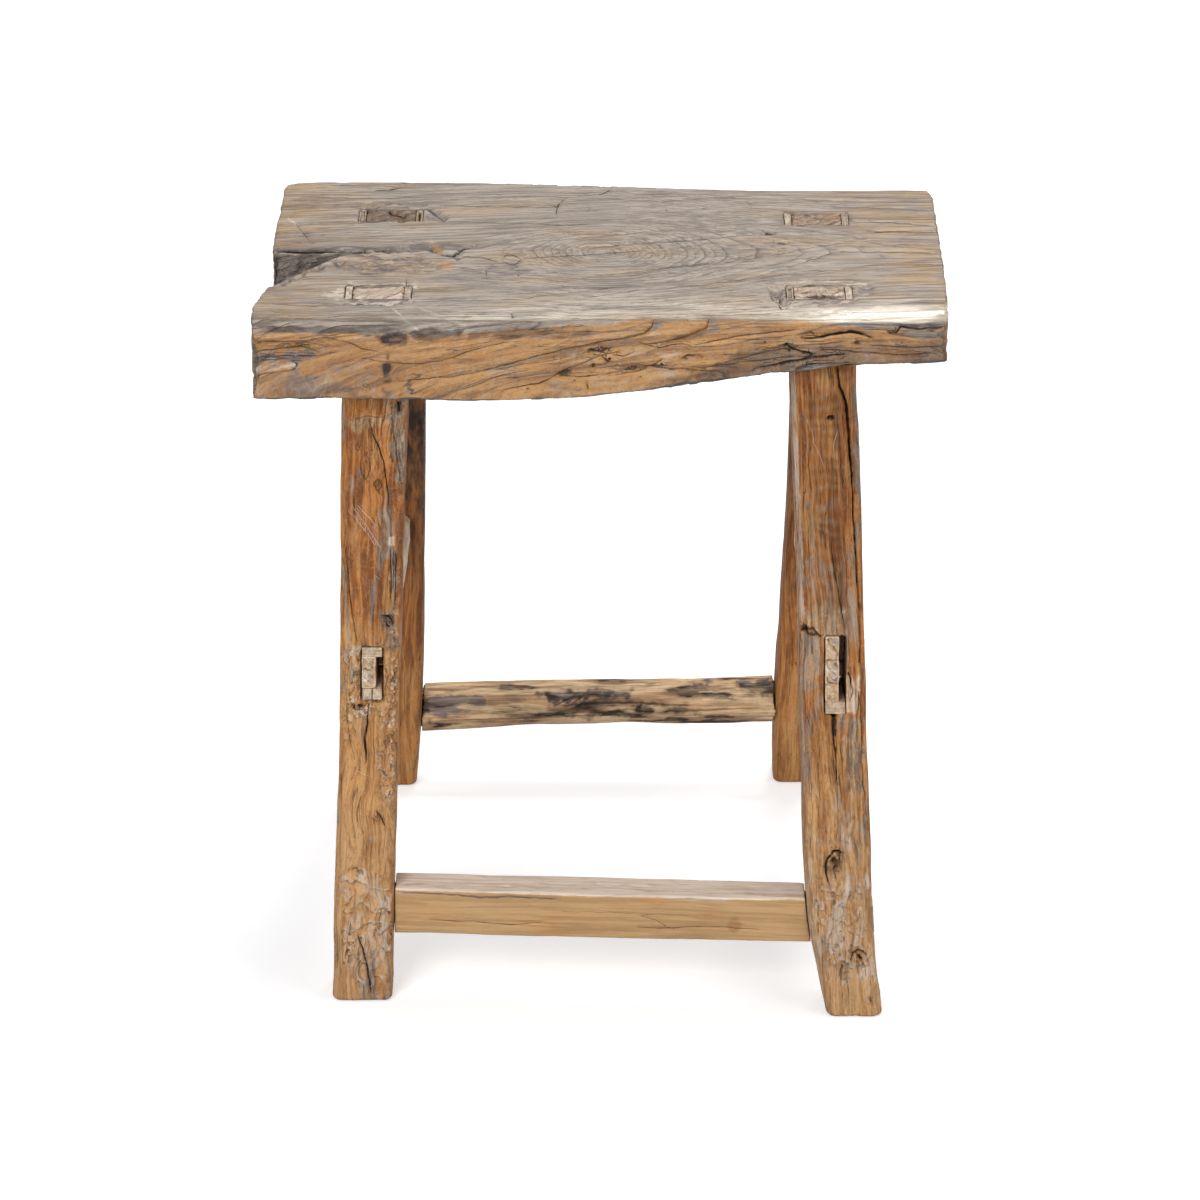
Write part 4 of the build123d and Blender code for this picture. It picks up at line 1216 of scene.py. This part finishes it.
# the tenon ends in the top: how pale and how dark, and the marks in them
TENON_PALE = {"front_left": 1.0, "front_right": 0.8, "back_left": 0.25, "back_right": 0.3}
TENON_DARK = {"back_left": 0.35}
TENON_MARKS = {
    "back_left": (
        ("groove", 2.0, 2.5, dict(dark=0.9), ((385, 207), (392, 213), (405, 217))),
    ),
    "front_right": (
        ("dish", (26, 4.5), 2.6, dict(edge=0.3, tan=1.0, dark=0.15), (828, 300)),
        ("groove", 1.6, 1.2, dict(dark=0.8), ((801, 296), (826, 295), (848, 296))),
    ),
    "front_left": (
        ("dish", (24, 2.6), 1.6, dict(edge=0.4, grey=1.0), (372, 300)),
    ),
}
print("legs", ", ".join(SHOULDER))


# %% Carve the legs
def carve_leg(name, seed):
    """One leg, from its solid to its carved and painted skin."""
    piece = copy_of("leg_" + name, "post_" + name)
    fine_skin(piece, LEG_SQUARE, 2)
    leg = Carver(piece, seed)
    axes = grain_axes(leg.points[leg.points[:, 2] < SHOULDER[name] - 5])
    flat = lay_grain(leg, axes, HEARTS[name], 3.4, seed + 12)
    z = leg.points[:, 2]
    body = 1 - ease(z, SHOULDER[name] - 3, SHOULDER[name] + 3)
    front = name.startswith("front")
    hew(leg, flat, seed + 3, flute=1.0 if front else 0.5, facet=1.3 if front else 0.8,
        crack=1.5 if front else 0.8)
    patches = layered_noise(flat, (60, 14, 14), seed + 20, 3)
    foot = 1 - ease(z, 60, 210)
    if front:
        leg.blend("grey", 0.6 * ease(patches, 0.35, 0.6))
        leg.blend("tan", 0.6 * ease(-patches, 0.05, 0.5))
        leg.blend("ochre", 0.8 * foot)
        leg.blend("dark", 0.06 + 0.05 * foot)
        leg.swirl(1.0, 1.6, (14, 14, 30), seed + 21)
    else:
        leg.paint["torn"] *= 0.3
        # painted shade: the upper back legs are painted darker where the seat shadows them
        leg.blend("dark", UNDER_SEAT_SHADE[name] * ease(z, 120, 330))
        leg.blend("dark", 0.12)
        leg.blend("tan", 0.6 * foot)
    if name in LEG_MARKS:
        LEG_MARKS[name](leg)
    leg.depth *= body * (0.3 + 0.7 * ease(z, 1, 12))
    for values in list(leg.paint.values()) + [leg.ink]:
        values *= body
    carve_tenon(leg, name, seed + 30)
    leg.finish()
    return piece


def carve_tenon(leg, name, seed):
    """The end of a leg's tenon in the seat: torn end grain, chipped at its edges."""
    z = leg.points[:, 2]
    end = ease(z, SEAT_TOP - 8, SEAT_TOP - 3)
    low_x, high_x, low_y, high_y = mortise_box(name)
    off = off_the_box(leg.points, (low_x + 5, high_x - 5, low_y, high_y))
    torn = np.abs(layered_noise(leg.points, (9, 5, 5), seed, 2))
    chips = 1.4 * ease(off, -3.0, -0.4) * ease(smooth_noise(leg.points, 6, seed + 3), 0.0, 0.4)
    leg.depth += end * (0.6 * torn + chips)
    leg.paint["tan"] *= 1 - ease(z, SEAT_TOP - 20, SEAT_TOP - 6)
    leg.blend("grey", 0.9 * ease(z, SEAT_TOP - 20, SEAT_TOP - 6))
    leg.blend("torn", 0.35 * end)
    paleness = ease(smooth_noise(leg.points, (10, 6, 6), seed + 5), -0.9, 0.0)
    leg.blend("pale", TENON_PALE[name] * end * paleness)
    leg.blend("dark", TENON_DARK.get(name, 0.0) * end)
    leg.mark(TENON_MARKS.get(name, ()))


posts = {name: carve_leg(name, 100 + 50 * index) for index, name in enumerate(LEGS)}

# %% [markdown]
# ## The stretchers
# The front and side stretchers are planed bars, paler than the legs. The back one is a branch that
# kept its round shape, its bumps and the dark streaks that its bark left.

# %% Marks on the stretchers
FRONT_BAR_MARKS = (
    # scuffs on the top
    ("groove", 2.2, 1.0, dict(dark=0.6, grey=0.6), ((400, 893), (451, 895), (480, 898), (510, 897),
     (560, 900))),
    ("groove", 2.4, 0.5, dict(grey=0.8), ((446, 884), (480, 886), (518, 886)), ((595, 885), (625, 887),
     (654, 886))),
    ("groove", 2.0, 0.5, dict(grey=0.8), ((666, 898), (690, 900), (727, 901))),
    # dark lines on the front
    ("groove", 1.0, 0.8, dict(dark=0.7), ((428, 920), (480, 922), (510, 925), (543, 923)), ((636, 927),
     (660, 929), (697, 927), (760, 930))),
    ("groove", 1.0, 0.5, dict(dark=0.5), ((636, 915), (655, 920), (672, 930))),
    ("groove", 1.0, 0.5, dict(dark=0.4), ((560, 912), (620, 913), (690, 916))),
    ("groove", 1.0, 0.6, dict(dark=0.6), ((403, 938), (430, 940), (462, 936))),
    # a golden spot
    ("dish", (8, 8), 0.4, dict(dark=0.22, tan=1.0), (734, 925)),
)
BARK_PATCHES = (
    # how dark and how grey, and corners in pixels
    (0.15, 1.0, ((427, 694), (450, 696), (486, 697), (484, 712), (440, 716), (427, 712))),
    (0.7, 1.0, ((536, 692), (560, 688), (600, 690), (631, 688), (628, 697), (590, 699), (556, 704))),
    (0.75, 0.3, ((548, 712), (590, 707), (649, 706), (700, 709), (700, 713), (600, 719), (552, 718))),
    (0.7, 1.0, ((690, 681), (712, 680), (708, 689), (694, 688))),
    (0.6, 1.0, ((733, 682), (775, 678), (776, 696), (750, 694))),
    (0.3, 1.0, ((775, 700), (800, 698), (800, 712), (778, 714))),
    (0.7, 0.5, ((404, 692), (428, 694), (428, 722), (404, 720))),
)
BRANCH_MARKS = (
    # long shallow furrows
    ("groove", 2.0, 0.8, dict(dark=0.5), ((440, 722), (520, 720), (600, 717), (700, 711), (760, 709))),
    ("groove", 2.4, 0.8, dict(dark=0.6), ((560, 706), (600, 703), (640, 703), (690, 706))),
    # old cuts
    ("groove", 2.0, 1.2, dict(dark=0.6), ((554, 706), (566, 700), (578, 694)), ((566, 708), (580, 698),
     (590, 690)), ((576, 708), (588, 697))),
)
TENON_SPLITS = {
    # splits across the two side tenons that the photograph shows
    "right": (
        ("groove", 1.6, 2.0, dict(dark=0.8), ((819, 663), (826, 660), (834, 662), (842, 659))),
        ("groove", 1.0, 1.0, dict(dark=0.8), ((822, 686), (829, 683), (837, 685))),
    ),
    "left": (
        ("groove", 1.2, 1.2, dict(dark=0.8), ((361, 668), (368, 671), (373, 669))),
    ),
}
BAR_SQUARE = 1.1
print(len(BARK_PATCHES), "patches of bark")


# %% Start a stretcher
def start_bar(name, seed, heart, flute, facet, crack):
    """A stretcher's skin with its grain laid and its faces hewn."""
    piece = copy_of("stretcher_" + name, "bar_" + name)
    fine_skin(piece, BAR_SQUARE, 1)
    bar = Carver(piece, seed)
    flat = lay_grain(bar, grain_axes(bar.points), heart, 2.0, seed + 12)
    hew(bar, flat, seed + 3, flute=flute, facet=facet, crack=crack)
    return piece, bar, flat


# %% Carve the stretchers
def carve_front_bar():
    """The pale squared bar in front, with its scuffed top and its few dark lines."""
    piece, bar, flat = start_bar("front", 401, (30, 22), 0.1, 0.7, 0.3)
    top = ease(bar.normals[:, 2], 0.4, 0.8)
    bar.paint["torn"] *= 0.2
    # the top is painted ochre and pale: scuffed wood, and partly painted light from above
    bar.blend("ochre", 0.8 * top)
    bar.blend("pale", top)
    bar.blend("grey", 0.3 * top * ease(smooth_noise(flat, (40, 9, 9), 402), 0.1, 0.5))
    bar.blend("tan", 0.5 * ease(smooth_noise(flat, (50, 20, 20), 403), 0.1, 0.6))
    bar.mark(FRONT_BAR_MARKS)
    joint = ease(np.abs(bar.points[:, 0]), 150, 166)
    bar.blend("grey", 0.8 * joint)
    bar.finish()
    return piece


def carve_branch():
    """The round branch at the back: soft bumps, shallow scars and dark streaks."""
    piece, bar, flat = start_bar("back", 431, (2, 1), 0.6, 1.2, 0.9)
    bar.depth += 0.9 * (1 + smooth_noise(flat, (38, 18, 18), 432)) / 2
    streaks = layered_noise(flat, (46, 10, 10), 433, 3, 0.5)
    bar.blend("dark", np.maximum(0.3 * ease(streaks, 0.1, 0.3), 0.8 * ease(streaks, 0.34, 0.46)))
    bar.paint["torn"] *= 0.3
    bar.blend("tan", ease(-streaks, -0.1, 0.3))
    bar.blend("pale", ease(-layered_noise(flat, (70, 9, 9), 439, 2), -0.05, 0.25))
    bark = smooth_noise(flat, (16, 5, 5), 440)
    for darkness, grey, corners in BARK_PATCHES:
        spot = bar.zone(corners, 3)
        bar.blend("dark", 1.2 * darkness * spot * ease(bark, -0.5, -0.05))
        bar.blend("grey", grey * spot)
    bar.mark(BRANCH_MARKS)
    # painted shade: the underside of the branch is painted darker
    bar.blend("dark", 0.25 * ease(-bar.normals[:, 2], 0.2, 0.7))
    bar.finish()
    return piece


def carve_side_bar(name, seed):
    """A side bar: planed, pale, and rough end grain on the tenon ends that show."""
    piece, bar, _ = start_bar(name, seed, (28, 20), 0.15, 0.6, 0.5)
    ends = ease(np.abs(bar.normals[:, 1]), 0.6, 0.85) * ease(np.abs(bar.points[:, 1]), 118, 126)
    bar.wrinkle(ends, 3.0, (7, 7, 9), seed + 9, 0.5, 0.5)
    bar.blend("grey", 0.8 * ends * ease(smooth_noise(bar.points, (8, 8, 12), seed + 11), -0.3, 0.4))
    # the tops are painted a little paler than the sides, as painted light from above
    bar.blend("pale", (0.5 + 0.2 * ease(bar.normals[:, 2], 0.4, 0.8)) * (1 - 0.5 * ends))
    bar.blend("ochre", 0.7 * (1 - 0.9 * ends))
    bar.blend("torn", ends)
    bar.mark(TENON_SPLITS[name])
    bar.finish()
    return piece


bars = {
    "front": carve_front_bar(),
    "back": carve_branch(),
    "left": carve_side_bar("left", 461),
    "right": carve_side_bar("right", 491),
}

# %% [markdown]
# ## The wedges
# Thin wedges split from offcuts hold every tenon. They were driven in and trimmed with a chisel,
# so their ends are torn, not flat.

# %% Carve the wedges
WEDGES = sorted(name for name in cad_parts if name.startswith("wedge_"))
SUNK = {
    # how many millimetres a wedge has sunk or broken away, and how much darker its torn end is painted
    "wedge_seat_back_left_left": (1.2, 0.25),
    "wedge_seat_back_left_right": (3.5, 0.75),
    "wedge_seat_front_left_right": (0.6, 0.0),
    "wedge_seat_front_right_left": (2.0, 0.2),
    "wedge_seat_back_right_right": (0.8, 0.1),
}
BRIGHT = {
    # how pale a wedge's torn end is, where it isn't middling
    "wedge_seat_front_left_left": 1.0,
    "wedge_seat_front_right_right": 0.9,
    "wedge_seat_back_left_left": 0.2,
    "wedge_seat_back_left_right": 0.1,
    "wedge_side_front_left_upper": 1.0,
    "wedge_side_front_left_lower_outer": 0.7,
    "wedge_side_front_left_lower_inner": 0.8,
}
MIDDLING = 0.5
WEDGE_SQUARE = 0.7


def carve_wedge(solid, seed):
    """One wedge, with torn ends and split sides."""
    piece = copy_of(solid, solid.replace("wedge", "peg"))
    fine_skin(piece, WEDGE_SQUARE, 0)
    wedge = Carver(piece, seed)
    in_seat = "seat" in solid
    axis = 2 if in_seat else 1
    order = [axis, (axis + 1) % 3, (axis + 2) % 3]
    wedge.grain = wedge.points[:, order]
    stretch = [4.0, 4.0, 4.0]
    stretch[axis] = 26.0
    torn = ease(np.abs(wedge.normals[:, axis]), 0.5, 0.8)
    sunk, end_darkening = SUNK.get(solid, (0.0, 0.0))
    bright = BRIGHT.get(solid, MIDDLING)
    wedge.depth += 0.35 * (1 + smooth_noise(wedge.points, stretch, seed + 1)) / 2
    wedge.depth += torn * (sunk + 0.9 * np.abs(smooth_noise(wedge.points, (4, 4, 4), seed + 2)))
    paleness = (1.0 if in_seat else 0.6) * bright * (0.4 + 0.6 * torn)
    wedge.blend("pale", paleness * ease(smooth_noise(wedge.points, 6, seed + 3), -0.8, 0.1))
    wedge.blend("ochre", 0.5 * (1 - bright) if in_seat else 0.9)
    if in_seat:
        wedge.blend("grey", (1 - bright) * torn * ease(smooth_noise(wedge.points, 9, seed + 4), -0.3, 0.3))
    wedge.blend("dark", end_darkening * torn)
    wedge.blend("torn", (0.5 if in_seat else 0.25) * torn)
    wedge.finish()
    return piece


pegs = {solid: carve_wedge(solid, 600 + 10 * index) for index, solid in enumerate(WEDGES)}
print(len(pegs), "wedges")

# %% [markdown]
# ## The wood
# One recipe makes every timber. Each piece carries its grain: how far along it a point lies, how
# far from the heart of the log, and round it. The distance from the heart gives the growth rings,
# as ovals on a face and as circles on an end. Fibres, pores and checks are noise stretched along
# the grain. The paints that the carving left then turn the wood grey, tan, ochre, pale, dark, torn
# or shiny, and the cracks are drawn where their distance is under their width.
# The other way would be an unwrapped picture. Grain kept on the points was chosen, because it bends
# with the wood and runs on from face to face, as it does in real timber.

# %% Small node tools
def math_node(tree, operation, first, second=0.0, third=0.0, clamp=False):
    """One sum of two or three values or sockets."""
    made = node(tree, "ShaderNodeMath", {0: first, 1: second, 2: third}, operation=operation, use_clamp=clamp)
    return made.outputs[0]


def times(tree, first, second, clamp=False):
    """One value times another."""
    return math_node(tree, "MULTIPLY", first, second, clamp=clamp)


def times_plus(tree, first, second, third, clamp=False):
    """One value times a second, plus a third."""
    return math_node(tree, "MULTIPLY_ADD", first, second, third, clamp)


def stretch_range(tree, value, low, high, to_low=0.0, to_high=1.0):
    """Maps low to high onto another range, smoothly and clamped."""
    made = node(
        tree, "ShaderNodeMapRange",
        {"Value": value, "From Min": low, "From Max": high, "To Min": to_low, "To Max": to_high},
        interpolation_type="SMOOTHSTEP")
    return made.outputs["Result"]


def mix_colour(tree, share, first, second, blend="MIX"):
    """Mixes two colours."""
    made = node(tree, "ShaderNodeMix", {0: share, 6: first, 7: second}, data_type="RGBA", blend_type=blend)
    return made.outputs[2]


def grain_noise(tree, vector, scale, detail=2.0, roughness=0.5):
    """Noise in the grain. The scale is lumps per metre along it, outwards and round it."""
    scaled = node(tree, "ShaderNodeVectorMath", {0: vector, 1: scale}, operation="MULTIPLY")
    made = node(
        tree, "ShaderNodeTexNoise",
        {"Vector": scaled.outputs[0], "Scale": 1.0, "Detail": detail, "Roughness": roughness})
    return made.outputs["Fac"]


def kept(tree, name):
    """One of the values that the carving kept on the points."""
    return node(tree, "ShaderNodeAttribute", attribute_name=name).outputs["Fac"]


# %% Lines in the wood
def ring_lines(tree, grain, ring, fineness):
    """Thin dark lines, one to a year's ring, some strong and some faint, and broken into dashes."""
    outwards = node(tree, "ShaderNodeSeparateXYZ", {0: grain}).outputs[1]
    ripple = grain_noise(tree, grain, (60, 110, 110), 2.0)
    outwards = times_plus(tree, ripple, 0.16 * ring * MM, outwards)
    rings = math_node(tree, "DIVIDE", outwards, ring * MM)
    phase = math_node(tree, "FRACT", rings)
    year = node(
        tree, "ShaderNodeTexWhiteNoise", {"W": math_node(tree, "FLOOR", rings)}, noise_dimensions="1D")
    ramp = node(tree, "ShaderNodeValToRGB", {"Fac": phase})
    stops = ramp.color_ramp
    stops.elements[0].position, stops.elements[0].color = 0.0, (0.0, 0.0, 0.0, 1)
    stops.elements[1].position, stops.elements[1].color = 1.0, (0.0, 0.0, 0.0, 1)
    for place, value in ((0.4 * fineness, 1.0), (fineness, 0.45), (2.4 * fineness, 0.16), (0.75, 0.02)):
        stop = stops.elements.new(place)
        stop.color = (value, value, value, 1)
    dashes = stretch_range(tree, grain_noise(tree, grain, (70, 500, 500), 3.0, 0.6), 0.34, 0.60, 0.3, 1.0)
    strength = stretch_range(tree, year.outputs["Value"], 0.1, 0.9, 0.25, 1.0)
    return times(tree, ramp.outputs["Color"], times(tree, dashes, strength))


def check_lines(tree, grain):
    """Short fine drying checks, where one noise crosses its middle value."""
    thread = grain_noise(tree, grain, (9, 130, 230), 2.0)
    thread = math_node(tree, "ABSOLUTE", math_node(tree, "SUBTRACT", thread, 0.5))
    here = grain_noise(tree, grain, (20, 70, 90), 2.0)
    thread = stretch_range(tree, thread, 0.0, 0.016, 1.0, 0.0)
    return times(tree, thread, stretch_range(tree, here, 0.50, 0.60))


def broken_up(tree, name, speck):
    """One of the kept paints with its border broken up, so that it ends in flecks, not in a blur."""
    share = times(tree, kept(tree, name), math_node(tree, "ADD", speck, 0.5))
    return stretch_range(tree, share, 0.12, 0.88)


def three_flecks(tree, grain):
    """Three kinds of flecks, one for each paint that they break up."""
    flecks = node(tree, "ShaderNodeVectorMath", {0: grain, 1: (34, 130, 130)}, operation="MULTIPLY")
    flecks = node(
        tree, "ShaderNodeTexNoise",
        {"Vector": flecks.outputs[0], "Scale": 1.0, "Detail": 5.0, "Roughness": 0.68})
    flecks = node(tree, "ShaderNodeSeparateColor", {0: flecks.outputs["Color"]})
    return [stretch_range(tree, flecks.outputs[index], 0.34, 0.66) for index in range(3)]


def torn_crests(tree, grain):
    """How far a point is from the crests of torn wood, which lie a few millimetres apart."""
    swirl = node(tree, "ShaderNodeVectorMath", {0: grain, 1: (75, 120, 120)}, operation="MULTIPLY")
    swirl = node(
        tree, "ShaderNodeTexNoise",
        {"Vector": swirl.outputs[0], "Scale": 1.0, "Detail": 5.0, "Roughness": 0.62, "Distortion": 1.2})
    return math_node(tree, "ABSOLUTE", math_node(tree, "SUBTRACT", swirl.outputs["Fac"], 0.5))


# %% Timber recipe
def timber(name, ring, palette, lines=0.8, fibres=0.5, rough=0.62, relief=0.5, fineness=0.12,
           gloss=0.35, length=14, checks=1.0):
    """A weathered timber.

    Ring is the growth of one year in millimetres, and length the number of threads in a metre.
    """
    finish = bpy.data.materials.new(name)
    finish.use_nodes = True
    tree = finish.node_tree
    shader = tree.nodes["Principled BSDF"]
    grain = node(tree, "ShaderNodeAttribute", attribute_name="grain").outputs["Vector"]
    line = ring_lines(tree, grain, ring, fineness)
    # rings show less in golden wood
    line = times(tree, line, times_plus(tree, kept(tree, "tan"), -0.6, 1.0))
    check = times(tree, check_lines(tree, grain), checks)
    fibre = stretch_range(tree, grain_noise(tree, grain, (55, 900, 1100), 4.0, 0.65), 0.32, 0.68)
    thread = stretch_range(tree, grain_noise(tree, grain, (length, 260, 380), 4.0, 0.62), 0.36, 0.64)
    streak = stretch_range(tree, grain_noise(tree, grain, (length / 2, 70, 110), 3.0, 0.6), 0.36, 0.64)
    pore = stretch_range(tree, grain_noise(tree, grain, (300, 1500, 1500), 1.0), 0.60, 0.70)
    fleck = three_flecks(tree, grain)
    # tone
    blend = times_plus(tree, streak, 0.45, times(tree, thread, 0.55))
    blend = stretch_range(tree, blend, 0.15, 0.85)
    tone = mix_colour(tree, blend, palette["deep"], palette["light"])
    tan_tone = mix_colour(tree, blend, palette["tan_deep"], palette["tan"])
    tone = mix_colour(tree, broken_up(tree, "tan", fleck[0]), tone, tan_tone)
    ochre_tone = mix_colour(tree, blend, palette["ochre_deep"], palette["ochre"])
    ochre_flecks = times_plus(tree, fleck[2], 0.5, 0.6)
    ochre_share = times(tree, kept(tree, "ochre"), ochre_flecks, clamp=True)
    tone = mix_colour(tree, ochre_share, tone, ochre_tone)
    grey_tone = mix_colour(tree, blend, palette["grey_deep"], palette["grey"])
    grey_share = times(tree, broken_up(tree, "grey", fleck[1]), 0.92)
    tone = mix_colour(tree, grey_share, tone, grey_tone)
    pale_share = broken_up(tree, "pale", fleck[2])
    pale_share = times(tree, pale_share, stretch_range(tree, thread, 0.0, 0.9, 0.7, 0.98))
    tone = mix_colour(tree, pale_share, tone, palette["pale"])
    # torn wood: a painted highlight on the crests and painted shade in the hollows between them
    crest = torn_crests(tree, grain)
    torn = kept(tree, "torn")
    lit = times(tree, stretch_range(tree, crest, 0.0, 0.04, 0.5, 0.0), torn)
    tone = mix_colour(tree, lit, tone, palette["pale"])
    sunk = times(tree, stretch_range(tree, crest, 0.12, 0.24, 0.0, 0.3), torn)
    tone = mix_colour(tree, sunk, tone, palette["line"])
    shade = times_plus(tree, fibre, 0.28 * fibres, times(tree, line, lines))
    shade = times_plus(tree, pore, 0.30 * fibres, shade)
    shade = times_plus(tree, stretch_range(tree, thread, 0.0, 0.22, 0.35, 0.0), fibres, shade)
    shade = times_plus(tree, check, 0.7, shade, clamp=True)
    # where the wood shines its dark lines fade from the colour, which on the polished arris paints part of
    # its highlight
    away_from_polish_and_highlight = times_plus(tree, kept(tree, "shine"), -0.8, 1.0)
    shade = times(tree, shade, away_from_polish_and_highlight)
    tone = mix_colour(tree, shade, tone, palette["line"])
    # the dark paint: real stains, and painted shade in torn hollows, under flakes, under the seat and under
    # the branch
    uneven = times_plus(tree, fleck[0], 0.8, 0.6)
    stain_and_shade_share = times(tree, kept(tree, "dark"), uneven, clamp=True)
    tone = mix_colour(tree, stain_and_shade_share, tone, palette["stain_and_shade"])
    # cracks are dark and scratches are pale
    away = math_node(tree, "ABSOLUTE", kept(tree, "crack"))
    ragged = grain_noise(tree, grain, (400, 900, 900), 2.0)
    away = times_plus(tree, math_node(tree, "SUBTRACT", ragged, 0.5), 0.9, away)
    near = stretch_range(tree, away, 0.55, 1.15, 1.0, 0.0)
    ink = kept(tree, "ink")
    patchy = stretch_range(tree, fleck[1], 0.0, 0.6, 0.55, 1.0)
    crack = times(tree, near, times(tree, ink, patchy), clamp=True)
    tone = mix_colour(tree, crack, tone, palette["crack"])
    scratch = times(tree, near, times(tree, ink, -1.0), clamp=True)
    tone = mix_colour(tree, scratch, tone, palette["pale"])
    tree.links.new(tone, shader.inputs["Base Color"])
    # sheen of use, and relief
    dull = times_plus(tree, fibre, 0.14, rough)
    dull = times_plus(tree, kept(tree, "shine"), -0.5, dull, clamp=True)
    tree.links.new(dull, shader.inputs["Roughness"])
    shader.inputs["Specular IOR Level"].default_value = gloss
    height = times(tree, line, -0.6)
    height = times_plus(tree, fibre, -0.30, height)
    height = times_plus(tree, thread, 0.9, height)
    height = math_node(tree, "SUBTRACT", height, check)
    height = times_plus(tree, pore, -0.4, height)
    height = times_plus(tree, crack, -1.5, height)
    height = times_plus(tree, times(tree, crest, torn), -16.0, height)
    worn_flat = times_plus(tree, kept(tree, "shine"), -0.93, 1.0)
    bump = node(tree, "ShaderNodeBump", {"Strength": worn_flat, "Distance": relief * MM, "Height": height})
    tree.links.new(bump.outputs[0], shader.inputs["Normal"])
    return finish


# %% Palettes
# the darkest colour of each palette goes with the dark paint: real stains, and painted shade
PLANK = {
    "light": (0.42, 0.352, 0.288, 1), "deep": (0.272, 0.223, 0.180, 1),
    "tan": (0.54, 0.295, 0.112, 1), "tan_deep": (0.39, 0.182, 0.058, 1),
    "ochre": (0.46, 0.31, 0.16, 1), "ochre_deep": (0.33, 0.20, 0.092, 1),
    "grey": (0.31, 0.265, 0.235, 1), "grey_deep": (0.17, 0.14, 0.125, 1),
    "pale": (0.66, 0.57, 0.455, 1), "line": (0.10, 0.075, 0.065, 1),
    "stain_and_shade": (0.035, 0.022, 0.020, 1), "crack": (0.012, 0.009, 0.007, 1),
}
LEG = {
    "light": (0.56, 0.222, 0.052, 1), "deep": (0.26, 0.080, 0.015, 1),
    "tan": (0.66, 0.335, 0.115, 1), "tan_deep": (0.46, 0.195, 0.055, 1),
    "ochre": (0.76, 0.47, 0.23, 1), "ochre_deep": (0.58, 0.30, 0.115, 1),
    "grey": (0.44, 0.335, 0.245, 1), "grey_deep": (0.22, 0.160, 0.115, 1),
    "pale": (0.76, 0.62, 0.485, 1), "line": (0.075, 0.030, 0.012, 1),
    "stain_and_shade": (0.028, 0.016, 0.010, 1), "crack": (0.010, 0.007, 0.005, 1),
}
BAR = {
    "light": (0.52, 0.318, 0.145, 1), "deep": (0.42, 0.248, 0.107, 1),
    "tan": (0.54, 0.30, 0.12, 1), "tan_deep": (0.42, 0.21, 0.080, 1),
    "ochre": (0.60, 0.42, 0.24, 1), "ochre_deep": (0.46, 0.30, 0.16, 1),
    "grey": (0.46, 0.37, 0.30, 1), "grey_deep": (0.28, 0.21, 0.17, 1),
    "pale": (0.88, 0.73, 0.60, 1), "line": (0.19, 0.11, 0.06, 1),
    "stain_and_shade": (0.05, 0.03, 0.02, 1), "crack": (0.02, 0.014, 0.010, 1),
}
BRANCH = {
    "light": (0.60, 0.39, 0.22, 1), "deep": (0.36, 0.21, 0.11, 1),
    "tan": (0.72, 0.48, 0.27, 1), "tan_deep": (0.52, 0.31, 0.155, 1),
    "ochre": (0.66, 0.48, 0.30, 1), "ochre_deep": (0.48, 0.32, 0.18, 1),
    "grey": (0.30, 0.245, 0.215, 1), "grey_deep": (0.16, 0.125, 0.11, 1),
    "pale": (0.78, 0.55, 0.32, 1), "line": (0.10, 0.06, 0.04, 1),
    "stain_and_shade": (0.030, 0.018, 0.012, 1), "crack": (0.02, 0.014, 0.011, 1),
}
WEDGE = {
    "light": (0.52, 0.41, 0.30, 1), "deep": (0.34, 0.25, 0.17, 1),
    "tan": (0.50, 0.33, 0.17, 1), "tan_deep": (0.33, 0.20, 0.10, 1),
    "ochre": (0.76, 0.57, 0.38, 1), "ochre_deep": (0.56, 0.40, 0.25, 1),
    "grey": (0.34, 0.29, 0.245, 1), "grey_deep": (0.18, 0.145, 0.12, 1),
    "pale": (0.78, 0.66, 0.53, 1), "line": (0.15, 0.10, 0.07, 1),
    "stain_and_shade": (0.03, 0.02, 0.016, 1), "crack": (0.02, 0.014, 0.010, 1),
}


# %% Give each piece its wood
def dress(piece, solid, material):
    """Puts a material on a piece, and the piece in the place of its solid."""
    piece.data.materials.clear()
    piece.data.materials.append(material)
    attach(piece, "root")
    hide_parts(solid)


plank_wood = timber("weathered_plank", 3.5, PLANK, lines=2.1, fibres=0.8, rough=0.6, relief=0.4,
                    fineness=0.1, length=12)
leg_wood = timber("leg_timber", 4.4, LEG, lines=0.55, fibres=0.55, rough=0.5, relief=0.6,
                  fineness=0.2, gloss=0.25)
bar_wood = timber("planed_timber", 3.6, BAR, lines=0.15, fibres=0.15, rough=0.62, relief=0.16, checks=0.3)
branch_wood = timber("barked_branch", 4.0, BRANCH, lines=0.4, fibres=0.6, rough=0.62, relief=0.5)
wedge_wood = timber("wedge_timber", 2.4, WEDGE, lines=0.4, fibres=0.6, rough=0.7, relief=0.5, checks=0.3)
dress(seat, "seat_plank", plank_wood)
for name, piece in posts.items():
    dress(piece, "leg_" + name, leg_wood)
for name, piece in bars.items():
    if name == "back":
        dress(piece, "stretcher_back", branch_wood)
    else:
        dress(piece, "stretcher_" + name, bar_wood)
for solid, piece in pegs.items():
    dress(piece, solid, wedge_wood)
print(1 + len(posts) + len(bars) + len(pegs), "pieces dressed")
